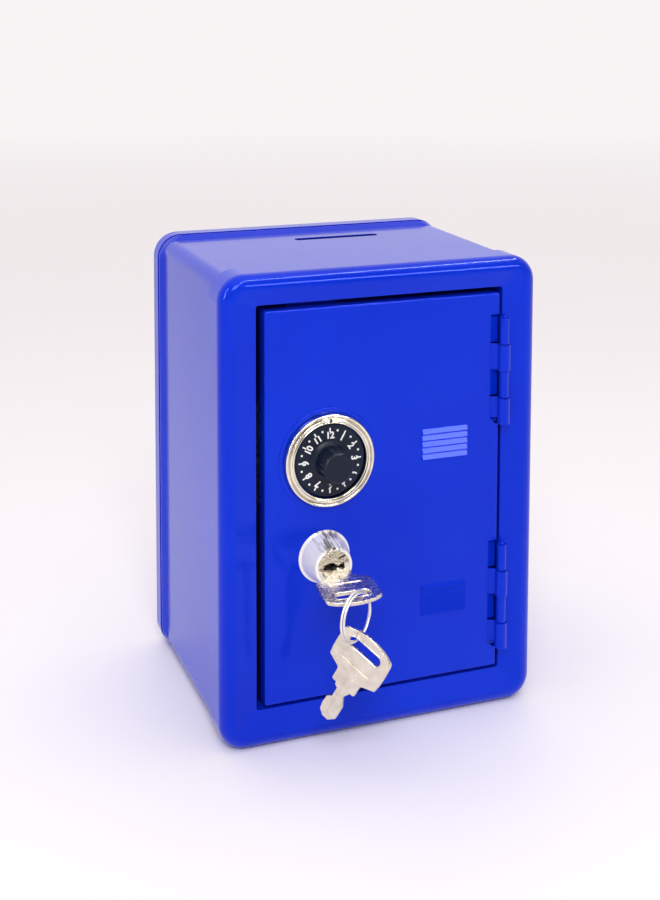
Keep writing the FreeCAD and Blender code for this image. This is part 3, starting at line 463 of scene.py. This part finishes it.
def make_hinge_webs():
    """The frame's webs that show in the door's notches beside two of a hinge's four knuckles,
    and a short one that closes the notch's foot."""
    for place in ("lower", "upper"):
        low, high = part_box(f"hinge_frame_leaf_{place}")
        axis = (low.x + high.x) / 2 / MM
        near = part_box("front_frame")[0].y / MM + WEB_SUNK
        foot = low.z / MM
        step = (high.z / MM - foot + KNUCKLE_GAP) / 4
        webs = [(foot + number * step, step - KNUCKLE_GAP) for number in (1, 3)] + [(foot, WEB_FOOT)]
        shape = bmesh.new()
        for start, length in webs:
            near_corner = (axis - WEB_REACH, near, start)
            far_corner = (axis - WEB_CLEAR, near + WEB_THICKNESS, start + length)
            block(shape, near_corner, far_corner)
        bmesh.ops.bevel(shape, geom=shape.edges[:], offset=0.12 * MM, segments=2, affect="EDGES")
        data = bpy.data.meshes.new(f"hinge_webs_{place}")
        shape.to_mesh(data)
        shape.free()
        own(link_object(data.name, data), "case", "blue_enamel", ENAMEL)


# Dial markings ----------------------------------------------------------------------------

NUMBERS = 12
NUMBER_SIZE = 3.5 * MM
NUMBER_RADIUS = 9.6 * MM
TICK_INNER = 10.95 * MM
TICK_LENGTH = 1.5 * MM
TICK_WIDTH = 0.5 * MM
DOT_RADIUS = 0.42 * MM
DOT_CIRCLE = 11.6 * MM
PRINT_THICKNESS = 0.05 * MM
DISC_THICKNESS = 1.5 * MM
DISC_EDGE = 13.55 * MM
DISC_RISE = 0.25 * MM
DISC_BAND = 5.95 * MM
DISC_SLOPE = DISC_RISE / DISC_BAND
PRINT_SPREAD = 0.12 * MM
PRINT_SPACING = 0.92


def dial_height(radius):
    """How far the dial's slightly coned face stands ahead of its edge."""
    return DISC_SLOPE * (DISC_EDGE - radius)


def place_on_dial(face, turn, radius):
    """The frame of a mark on the dial: X across it, Z outwards to the rim."""
    spin = Matrix.Rotation(turn, 4, "Y")
    out = Matrix.Translation((0, -dial_height(radius) - PRINT_THICKNESS / 2, radius))
    return Matrix.Translation(face) @ spin @ out @ Matrix.Rotation(-math.atan(DISC_SLOPE), 4, "X")


def make_number(number, face):
    """One numeral, its top towards the rim."""
    text = bpy.data.curves.new(f"number_{number:02d}", "FONT")
    text.body = str(number)
    text.size = NUMBER_SIZE
    text.align_x = "CENTER"
    text.align_y = "CENTER"
    text.extrude = PRINT_THICKNESS
    text.offset = PRINT_SPREAD
    text.space_character = PRINT_SPACING
    piece = link_object(text.name, text)
    turn = 2 * math.pi * number / NUMBERS
    piece.matrix_world = place_on_dial(face, turn, NUMBER_RADIUS) @ Matrix.Rotation(math.pi / 2, 4, "X")
    return own(piece, "dial", "dial_plastic", PRINT)


def make_marks(face):
    """A tick outside each numeral and a dot halfway between, in one flat piece."""
    shape = bmesh.new()
    for number in range(NUMBERS):
        turn = 2 * math.pi * number / NUMBERS
        tick = bmesh.ops.create_cube(shape, size=1.0)["verts"]
        size = Matrix.Diagonal((TICK_WIDTH, 2 * PRINT_THICKNESS, TICK_LENGTH, 1))
        place = place_on_dial(Vector(), turn, TICK_INNER + TICK_LENGTH / 2)
        bmesh.ops.transform(shape, verts=tick, matrix=place @ size)
        dot = bmesh.ops.create_cone(
            shape,
            cap_ends=True,
            segments=20,
            radius1=DOT_RADIUS,
            radius2=DOT_RADIUS,
            depth=2 * PRINT_THICKNESS,
        )["verts"]
        place = place_on_dial(Vector(), turn + math.pi / NUMBERS, DOT_CIRCLE)
        bmesh.ops.transform(shape, verts=dot, matrix=place @ Matrix.Rotation(math.pi / 2, 4, "X"))
    data = bpy.data.meshes.new("dial_marks")
    shape.to_mesh(data)
    shape.free()
    piece = link_object("dial_marks", data)
    piece.location = face
    return own(piece, "dial", "dial_plastic", PRINT)


def make_dial_print():
    """The numerals and the marks, on the face of the dial's disc."""
    disc_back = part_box("combination_dial")[1].y
    face = axis_place("combination_dial", disc_back - DISC_THICKNESS)
    for number in range(1, NUMBERS + 1):
        make_number(number, face)
    make_marks(face)


DIAL_RING_INNER = 14.3
INDEX_LIFT = 0.15 * MM
INDEX_BAR_LIFT = 0.2 * MM


def make_ring_round_dial():
    """The plated ring: a bright outer rim, a fine groove, a broad band and a bright lip. At its
    top is the index that the numbers are read against."""
    low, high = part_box("dial_ring")
    outer = (high.x - low.x) / 2 / MM
    inner = DIAL_RING_INNER
    profile = [(inner, 0.0), (outer, 0.0), (outer, -1.3), (outer - 0.12, -2.1)]
    profile += [(outer - 0.74 + across, -2.45 + ahead) for across, ahead in arc(0.6, 0, -150, 10)]
    profile += [(outer - 1.4, -2.3), (outer - 1.55, -2.2), (outer - 1.7, -2.4), (outer - 1.78, -2.95)]
    profile += [(outer - 1.9, -3.1), (outer - 2.15, -3.19), (outer - 2.4, -3.2), (outer - 2.62, -3.12)]
    profile += [(outer - 2.72, -2.95), (outer - 2.86, -2.85)]
    profile += [(inner + 0.3 + across, -2.8 + ahead) for across, ahead in arc(0.3, -70, -180, 6)]
    piece = turned("dial_ring_bright", profile, axis_place("dial_ring", high.y))
    own(piece, "door", "nickel_plate", NICKEL)
    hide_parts("dial_ring")
    top = axis_place("dial_ring", low.y)
    index = top + Vector((0, 0, (outer - 2.3) * MM))
    inlay("index_line", "door", "nickel_plate", index, (0.9 * MM, 1.5 * MM), 0, INDEX_LIFT)
    index = top + Vector((0, 0, (outer - 0.85) * MM))
    inlay("index_bar", "door", "nickel_plate", index, (2.3 * MM, 0.5 * MM), 0, INDEX_BAR_LIFT)


# Lock -------------------------------------------------------------------------------------

BARREL_NOSE = 7.35
BARREL_FOOT = 9.4
BARREL_BORE = 5.06
BARREL_STEM = 7.0
PLUG_HEAD = 6.16
PLUG_HEAD_DEPTH = 0.9
DOOR_SHEET = 0.6
KEYWAY_TOP = 1.75
WARD_NEAR = 0.1
WARD_FAR = 0.8
WARD_TOP = 0.3
NOTCH_RADIUS = 7.0
NOTCH_SIZE = (1.5 * MM, 0.6 * MM)
PLUG_SLOT_PLACE = (3.2 * MM, 0, 3.4 * MM)
PLUG_SLOT_SIZE = (2.8 * MM, 0.7 * MM)
PLUG_SLOT_TURN = -22


def make_lock_nose():
    """The barrel: a narrow face rim, a long cone, and a thin flange against the door."""
    low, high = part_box("lock_barrel")
    flange = (high.x - low.x) / 2 / MM
    length = (high.y - low.y) / MM
    door = (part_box("lock_nut")[0].y - low.y) / MM - DOOR_SHEET
    profile = [(PLUG_HEAD, PLUG_HEAD_DEPTH), (PLUG_HEAD, 0.12), (PLUG_HEAD + 0.12, 0.0), (6.85, 0.0)]
    profile += [(7.1, 0.08), (7.28, 0.3), (BARREL_NOSE, 0.6), (BARREL_FOOT, door - 0.9)]
    profile += [(flange - 0.3, door - 0.6)]
    profile += [(flange, door - 0.35), (flange, door), (BARREL_STEM, door), (BARREL_STEM, length)]
    profile += [(BARREL_BORE, length), (BARREL_BORE, PLUG_HEAD_DEPTH)]
    piece = turned("lock_barrel_bright", profile, axis_place("lock_barrel", low.y))
    own(piece, "door", "nickel_plate", SATIN)
    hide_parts("lock_barrel")


def make_wards():
    """The wavy upper lip of the keyway, a thin sheet just inside the plug's face."""
    low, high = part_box("lock_plug")
    key_low, key_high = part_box("key_in_lock")
    middle = (key_low.x + key_high.x) / 2
    top = axis_place("lock_plug", low.y).z + KEYWAY_TOP * MM
    lip = [(-4.0, -0.5), (-3.1, -0.9), (-2.2, -0.35), (-1.0, -0.15), (0.2, -0.5), (1.2, -1.35), (2.0, -1.5)]
    lip += [(2.6, -0.9), (3.3, -1.0), (4.0, -0.3)]
    shape = bmesh.new()
    for number, (across, down) in enumerate(lip[:-1]):
        following = lip[number + 1]
        corners = [(across, down), following, (following[0], WARD_TOP), (across, WARD_TOP)]
        near = [shape.verts.new((x * MM, WARD_NEAR * MM, z * MM)) for x, z in corners]
        far = [shape.verts.new((x * MM, WARD_FAR * MM, z * MM)) for x, z in corners]
        shape.faces.new(near)
        shape.faces.new(far[::-1])
        for side in range(4):
            beside = (side + 1) % 4
            shape.faces.new((near[beside], near[side], far[side], far[beside]))
    bmesh.ops.remove_doubles(shape, verts=shape.verts, dist=0.001 * MM)
    bmesh.ops.recalc_face_normals(shape, faces=shape.faces)
    data = bpy.data.meshes.new("keyway_wards")
    shape.to_mesh(data)
    shape.free()
    piece = link_object("keyway_wards", data)
    piece.location = (middle, low.y, top)
    own(piece, "plug", "nickel_plate", NICKEL)


def inlay(name, body, slot, place, size, turn, lift=0.02 * MM):
    """A thin dark bar on a face: painted shade where it stands for a slot, or a dark mark. Size is across and up.
    """
    shape = bmesh.new()
    bmesh.ops.create_cube(shape, size=1.0)
    bmesh.ops.scale(shape, vec=(size[0], 2 * lift, size[1]), verts=shape.verts)
    bmesh.ops.bevel(shape, geom=shape.edges[:], offset=lift * 0.6, segments=1, affect="EDGES")
    data = bpy.data.meshes.new(name)
    shape.to_mesh(data)
    shape.free()
    piece = link_object(name, data)
    piece.matrix_world = Matrix.Translation(place) @ Matrix.Rotation(math.radians(turn), 4, "Y")
    return own(piece, body, slot, SLOT_SHADE_AND_MARKS)


def make_lock_slots():
    """A notch at the top of the barrel's face and a short slot in the plug's face, each a flat dark bar of painted
    shade.
    """
    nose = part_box("lock_barrel")[0].y
    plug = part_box("lock_plug")[0].y
    top = axis_place("lock_barrel", nose) + Vector((0, 0, NOTCH_RADIUS * MM))
    inlay("barrel_notch", "door", "nickel_plate", top, NOTCH_SIZE, 0)
    side = axis_place("lock_plug", plug) + Vector(PLUG_SLOT_PLACE)
    inlay("plug_slot", "plug", "nickel_plate", side, PLUG_SLOT_SIZE, PLUG_SLOT_TURN)


# Keys -------------------------------------------------------------------------------------

SHEET = 1.4
EDGE = 0.16
COLLAR = 5.6
COLLAR_HALF = 5.2
BOW = 17.8
BOW_HALF = 10.9
BOW_CROWN = 2.8
CROWN_POWER = 2.4
SLOT_HALF = 6.9
SLOT_WIDTH = 3.8
BAR = 3.6
BLADE = 15.0
BLADE_HALF = 3.7
NECK_HALF = 1.9
CROWN = -(COLLAR + BOW)
SLOT_MIDDLE = CROWN + BAR + SLOT_WIDTH / 2
FIELD_HALF = 6.3
FIELD_NEAR = 4.2
FIELD_FAR = 7.7
FIELD_DEPTH = 0.25
GROOVE_HALF = 0.4
GROOVE_START = -2.4
RIBS = 4
RIB_FIRST = -3.4
RIB_STEP = 1.8
RIB_HALF = 0.24
RIB_LOW = -5.1
RIB_HIGH = -3.3
RIB_RISE = 0.12
RIM_WIRE = 0.26
RIM_OUT = 0.3
RIM_SUNK = 0.14
PLAIN, STAMPED, PAINTED_SHADE = range(3)
SPARE_YAW = math.radians(50)
SPARE_LEAN = math.radians(30)


def key_outline():
    """The blank's outline in millimetres, the blade along +Y, from the crown and clockwise."""
    corner = BOW_HALF - 0.6
    crown = [
        (corner * share, CROWN + BOW_CROWN * share ** CROWN_POWER)
        for share in (0.0, 0.2, 0.4, 0.6, 0.75, 0.88, 1.0)
    ]
    bow = crown + [
        (BOW_HALF - 0.2, CROWN + BOW_CROWN + 1.2),
        (BOW_HALF, CROWN + BOW * 0.5),
        (BOW_HALF - 0.1, CROWN + BOW * 0.7),
        (BOW_HALF - 0.5, -COLLAR - 2.1),
        (COLLAR_HALF + 0.5, -COLLAR),
        (COLLAR_HALF, -COLLAR + 0.7),
        (COLLAR_HALF, -0.6),
        (COLLAR_HALF - 0.6, 0.0),
    ]
    right = [
        (NECK_HALF + 1.2, 0.0),
        (NECK_HALF + 1.2, 0.9),
        (NECK_HALF - 0.2, 1.7),
        (NECK_HALF - 0.2, 5.6),
        (BLADE_HALF - 0.4, 7.1),
        (BLADE_HALF - 0.2, 10.6),
        (BLADE_HALF - 0.6, BLADE - 1.8),
        (BLADE_HALF * 0.3, BLADE),
    ]
    left = [
        (-BLADE_HALF * 0.4, BLADE),
        (-BLADE_HALF, BLADE - 2.5),
        (-BLADE_HALF, 7.0),
        (-NECK_HALF, 3.1),
        (-NECK_HALF - 1.6, 0.0),
    ]
    mirrored = [(-across, along) for across, along in reversed(bow[1:])]
    return bow + right + left + mirrored


def slot_outline(grow):
    """The slot's outline with round ends, drawn out by a little."""
    radius = SLOT_WIDTH / 2 + grow
    reach = SLOT_HALF - SLOT_WIDTH / 2
    right = arc(radius, -90, 90, 10, (reach, SLOT_MIDDLE))
    left = arc(radius, 90, 270, 10, (-reach, SLOT_MIDDLE))
    return right + left


def add_spline(curve, points, height=0.0):
    spline = curve.splines.new("POLY")
    spline.points.add(len(points) - 1)
    for point, (across, along) in zip(spline.points, points):
        point.co = (across * MM, along * MM, height * MM, 1)
    spline.use_cyclic_u = True


def block(shape, low, high):
    """Adds a plain block between two corners in millimetres."""
    corner = bmesh.ops.create_cube(shape, size=1.0)["verts"]
    size = [(b - a) * MM for a, b in zip(low, high)]
    middle = [(a + b) / 2 * MM for a, b in zip(low, high)]
    place = Matrix.Translation(middle) @ Matrix.Diagonal((*size, 1))
    bmesh.ops.transform(shape, verts=corner, matrix=place)


def key_blank():
    """The stamped blank with softened edges and its slot."""
    curve = bpy.data.curves.new("key_blank", "CURVE")
    curve.dimensions = "2D"
    curve.fill_mode = "BOTH"
    curve.extrude = (SHEET / 2 - EDGE) * MM
    curve.bevel_depth = EDGE * MM
    curve.bevel_resolution = 1
    curve.offset = -EDGE * MM
    add_spline(curve, key_outline())
    add_spline(curve, slot_outline(0.0))
    mesh = mesh_of(link_object("key_blank", curve))
    shape = bmesh.new()
    shape.from_mesh(mesh)
    bmesh.ops.remove_doubles(shape, verts=shape.verts, dist=0.005 * MM)
    bmesh.ops.recalc_face_normals(shape, faces=shape.faces)
    shape.to_mesh(mesh)
    shape.free()
    return mesh


def cut_away(mesh, blocks):
    """Cuts plain blocks out of a mesh."""
    shape = bmesh.new()
    for low, high in blocks:
        block(shape, low, high)
    data = bpy.data.meshes.new("cutter")
    shape.to_mesh(data)
    shape.free()
    cutter = link_object("cutter", data)
    thing = link_object("blank", mesh)
    cut = thing.modifiers.new("cut", "BOOLEAN")
    cut.operation = "DIFFERENCE"
    cut.solver = "EXACT"
    cut.object = cutter
    result = mesh_of(thing)
    bpy.data.objects.remove(cutter)
    return result


def key_mesh():
    """The whole key: the blank, its sunk blank field, its groove, ribs and the slot's rim. The groove's
    floor, the field's walls and the ribs get a dark metal as painted shade.
    """
    half = SHEET / 2
    field_low, field_high = -(COLLAR + FIELD_FAR), -(COLLAR + FIELD_NEAR)
    cuts = []
    for side in (-1, 1):
        near, far = sorted((side * (half - FIELD_DEPTH), side * (half + 1)))
        cuts.append(((-FIELD_HALF, field_low, near), (FIELD_HALF, field_high, far)))
        cuts.append(((-GROOVE_HALF, GROOVE_START, near), (GROOVE_HALF, BLADE - 1, far)))
    shape = bmesh.new()
    shape.from_mesh(cut_away(key_blank(), cuts))
    for face in shape.faces:
        middle = face.calc_center_median() / MM
        on_face = abs(abs(middle.z) - half) < 0.03 and abs(face.normal.z) > 0.99
        depth = half - abs(middle.z)
        groove = depth > 0.1 and abs(face.normal.z) > 0.9 and abs(middle.x) < GROOVE_HALF + 0.05
        upright = depth > 0.02 and abs(face.normal.z) < 0.5 and abs(middle.x) < FIELD_HALF + 0.1
        wall = upright and field_low - 0.1 < middle.y < field_high + 0.1
        # painted shade on the groove's floor and on the sunk field's walls
        if wall or (groove and middle.y > GROOVE_START - 0.1):
            face.material_index = PAINTED_SHADE
        elif on_face and middle.y < -COLLAR:
            face.material_index = STAMPED
        else:
            face.material_index = PLAIN
    shape.faces.ensure_lookup_table()
    stamped = len(shape.faces)
    for number in range(RIBS):
        across = RIB_FIRST + RIB_STEP * number
        rise = half + RIB_RISE
        block(shape, (across - RIB_HALF, RIB_LOW, -rise), (across + RIB_HALF, RIB_HIGH, rise))
    # painted shade on the ribs, so that they stand out
    for face in list(shape.faces)[stamped:]:
        face.material_index = PAINTED_SHADE
    mesh = bpy.data.meshes.new("key")
    shape.to_mesh(mesh)
    shape.free()
    rim = bpy.data.curves.new("rim", "CURVE")
    rim.dimensions = "3D"
    rim.bevel_depth = RIM_WIRE * MM
    rim.bevel_resolution = 3
    for side in (-1, 1):
        add_spline(rim, slot_outline(RIM_OUT), side * (half - RIM_SUNK))
    rim_mesh = mesh_of(link_object("rim", rim))
    shape = bmesh.new()
    shape.from_mesh(mesh)
    shape.from_mesh(rim_mesh)
    shape.to_mesh(mesh)
    shape.free()
    return mesh


def place_key(name, node, body, mesh, turned_to):
    """Puts a key where its CAD node is, by the middle of its box."""
    piece = link_object(name, mesh)
    corners = [turned_to @ vertex.co for vertex in mesh.vertices]
    low = Vector([min(corner[side] for corner in corners) for side in range(3)])
    high = Vector([max(corner[side] for corner in corners) for side in range(3)])
    node_low, node_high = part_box(node)
    shift = (node_low + node_high - low - high) / 2
    piece.matrix_world = Matrix.Translation(shift) @ turned_to.to_4x4()
    own(piece, body, "key_nickel", KEY_NICKEL, STIPPLE, KEY_SHADE_METAL)
    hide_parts(node)


def make_keys():
    """One key lies along the line of its sliding joint, and the spare hangs from the ring, turned
    to the left and leaning."""
    mesh = key_mesh()
    slide = Vector(JOINTS["key_slide"]["axis"])
    blade = -slide
    across = Vector((1, 0, 0))
    in_lock = Matrix((across, blade, across.cross(blade))).transposed()
    place_key("key_in_lock_plated", "key_in_lock", "key", mesh, in_lock)
    left = Vector((-math.cos(SPARE_YAW), math.sin(SPARE_YAW), 0))
    blade = left * math.sin(SPARE_LEAN) - Vector((0, 0, math.cos(SPARE_LEAN)))
    face = Vector((-math.sin(SPARE_YAW), -math.cos(SPARE_YAW), 0))
    spare = Matrix((blade.cross(face), blade, face)).transposed()
    place_key("spare_key_plated", "spare_key", "spare_key", mesh.copy(), spare)


# Split ring -------------------------------------------------------------------------------

RING_RADIUS = 8.8 * MM
RING_WIRE = 0.43 * MM
RING_SPREAD = 0.34 * MM
RING_START = math.radians(-20)
RING_TURNS = 2.08
RING_SPLAY = 0.6
RING_LAY = 1.6
RING_POINTS = 240


def smooth(value, low, high):
    """Runs from 0 to 1 between low and high, gently at both ends."""
    share = min(max((value - low) / (high - low), 0.0), 1.0)
    return share * share * (3 - 2 * share)


def make_split_ring():
    """One wire wound a little over twice round. Its two ends and the crossing, where it changes
    from the inner turn to the outer one, are close together, and each end is splayed."""
    joint = JOINTS["ring_turn"]
    centre = Vector(joint["pos_m"])
    axis = Vector(joint["axis"]).normalized()
    level = axis.cross(Vector((0, 0, 1)))
    curve = bpy.data.curves.new("split_ring", "CURVE")
    curve.dimensions = "3D"
    curve.bevel_depth = RING_WIRE
    curve.bevel_resolution = 5
    curve.use_fill_caps = True
    spline = curve.splines.new("POLY")
    spline.points.add(RING_POINTS)
    for number, point in enumerate(spline.points):
        share = number / RING_POINTS
        turn = RING_START + 2 * math.pi * RING_TURNS * share
        crossing = smooth(share, 0.46, 0.54) - 0.5
        crossing *= 1 + RING_SPLAY * (1 - smooth(share, 0.0, 0.07) + smooth(share, 0.93, 1.0))
        radius = RING_RADIUS + 2 * RING_SPREAD * crossing
        place = centre + level * (radius * math.cos(turn)) + axis * (RING_WIRE * RING_LAY * crossing)
        place.z += radius * math.sin(turn)
        point.co = (*place, 1)
    piece = link_object("split_ring", curve)
    own(piece, "ring", "ring_steel", RING_STEEL)
    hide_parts("key_ring")


# Studio -----------------------------------------------------------------------------------

FLOOR_RADIUS = 9.0


def make_floor():
    shape = bmesh.new()
    bmesh.ops.create_circle(shape, cap_ends=True, segments=96, radius=FLOOR_RADIUS)
    data = bpy.data.meshes.new("floor")
    shape.to_mesh(data)
    shape.free()
    ground = link_object("floor", data)
    ground.location = (0, 0, cad_box[0].z)
    ground.data.materials.append(make_floor_paint())


def make_world():
    """A pale room: bright behind the box and overhead, and darker to the sides and in front."""
    world = bpy.data.worlds.new("studio")
    bpy.context.scene.world = world
    world.use_nodes = True
    tree = world.node_tree
    way = add(tree, "ShaderNodeTexCoord").outputs["Generated"]
    parts = add(tree, "ShaderNodeSeparateXYZ", {"Vector": way})
    high = remap(tree, parts.outputs["Z"], 0.4, 0.85, 0.0, 0.2)
    behind = remap(tree, parts.outputs["Y"], -0.3, 0.6, 0.42, ROOM_BEHIND)
    back = tree.nodes["Background"]
    put(tree, back.inputs["Strength"], maths(tree, "ADD", behind, high))
    back.inputs["Color"].default_value = ROOM


def area_light(name, place, target, width, height, power, shine_only=False):
    """A lamp panel. With shine_only it shows in the glossy faces and lights nothing else."""
    light = bpy.data.lights.new(name, "AREA")
    light.shape = "RECTANGLE"
    light.size = width
    light.size_y = height
    light.energy = power
    lamp = link_object(name, light)
    lamp.location = place
    lamp.rotation_euler = (Vector(target) - Vector(place)).to_track_quat("-Z", "Y").to_euler()
    lamp.visible_diffuse = not shine_only


def make_studio():
    """The floor, the room and five lamps: two light the scene, and three only shine in the box's
    upper edges, in its left front corner and in the louvres."""
    make_floor()
    make_world()
    area_light("key_light", (-0.35, -1.0, 0.95), (0, 0, 0.09), 0.5, 0.5, power=8.0)
    area_light("floor_light", (0, -0.35, 1.5), (0, -0.35, 0), 1.6, 1.0, power=4.5)
    area_light("ridge_strip", (0.3, -0.28, 1.0), (0, 0, 0.18), 1.2, 0.04, power=6.0, shine_only=True)
    area_light("corner_strip", (-0.9, -0.35, 0.55), (0, 0, 0.15), 0.05, 0.6, power=4.0, shine_only=True)
    area_light("louvre_panel", (0.43, -0.85, 0.528), (0, 0, 0.1), 0.5, 0.12, power=3.4, shine_only=True)


CAMERA_AZIMUTH = math.radians(-20.615)
CAMERA_ELEVATION = math.radians(5.197)
CAMERA_ROLL = math.radians(0.148)
CAMERA_LENS = 57.212
CAMERA_SHIFT = -0.374
CAMERA_ACROSS = -0.2058
CAMERA_AHEAD = 0.4872
CAMERA_HEIGHT = 0.2856


def make_camera():
    """Looks at the box from the front left and above. The camera is held nearly level and its
    lens is shifted down, which keeps the box's upright edges nearly parallel."""
    data = bpy.data.cameras.new("camera")
    camera = link_object("camera", data)
    level = math.cos(CAMERA_ELEVATION)
    back = Vector((
        math.sin(CAMERA_AZIMUTH) * level,
        -math.cos(CAMERA_AZIMUTH) * level,
        math.sin(CAMERA_ELEVATION),
    ))
    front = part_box("front_frame")[0].y
    place = Vector((CAMERA_ACROSS, front - CAMERA_AHEAD, CAMERA_HEIGHT))
    turned_to = (-back).to_track_quat("-Z", "Y").to_matrix().to_4x4()
    roll = Matrix.Rotation(CAMERA_ROLL, 4, "Z")
    camera.matrix_world = Matrix.Translation(place) @ turned_to @ roll
    data.lens = CAMERA_LENS
    data.sensor_width = 36.0
    data.shift_y = CAMERA_SHIFT
    data.clip_start = 0.01
    bpy.context.scene.camera = camera


def make_scene():
    bpy.context.scene.view_settings.view_transform = "Standard"
    make_camera()
    finish_cad_nodes()
    make_hem()
    make_hinge_webs()
    make_dial_print()
    make_ring_round_dial()
    make_lock_nose()
    make_lock_slots()
    make_wards()
    make_keys()
    make_split_ring()
    make_studio()


make_scene()
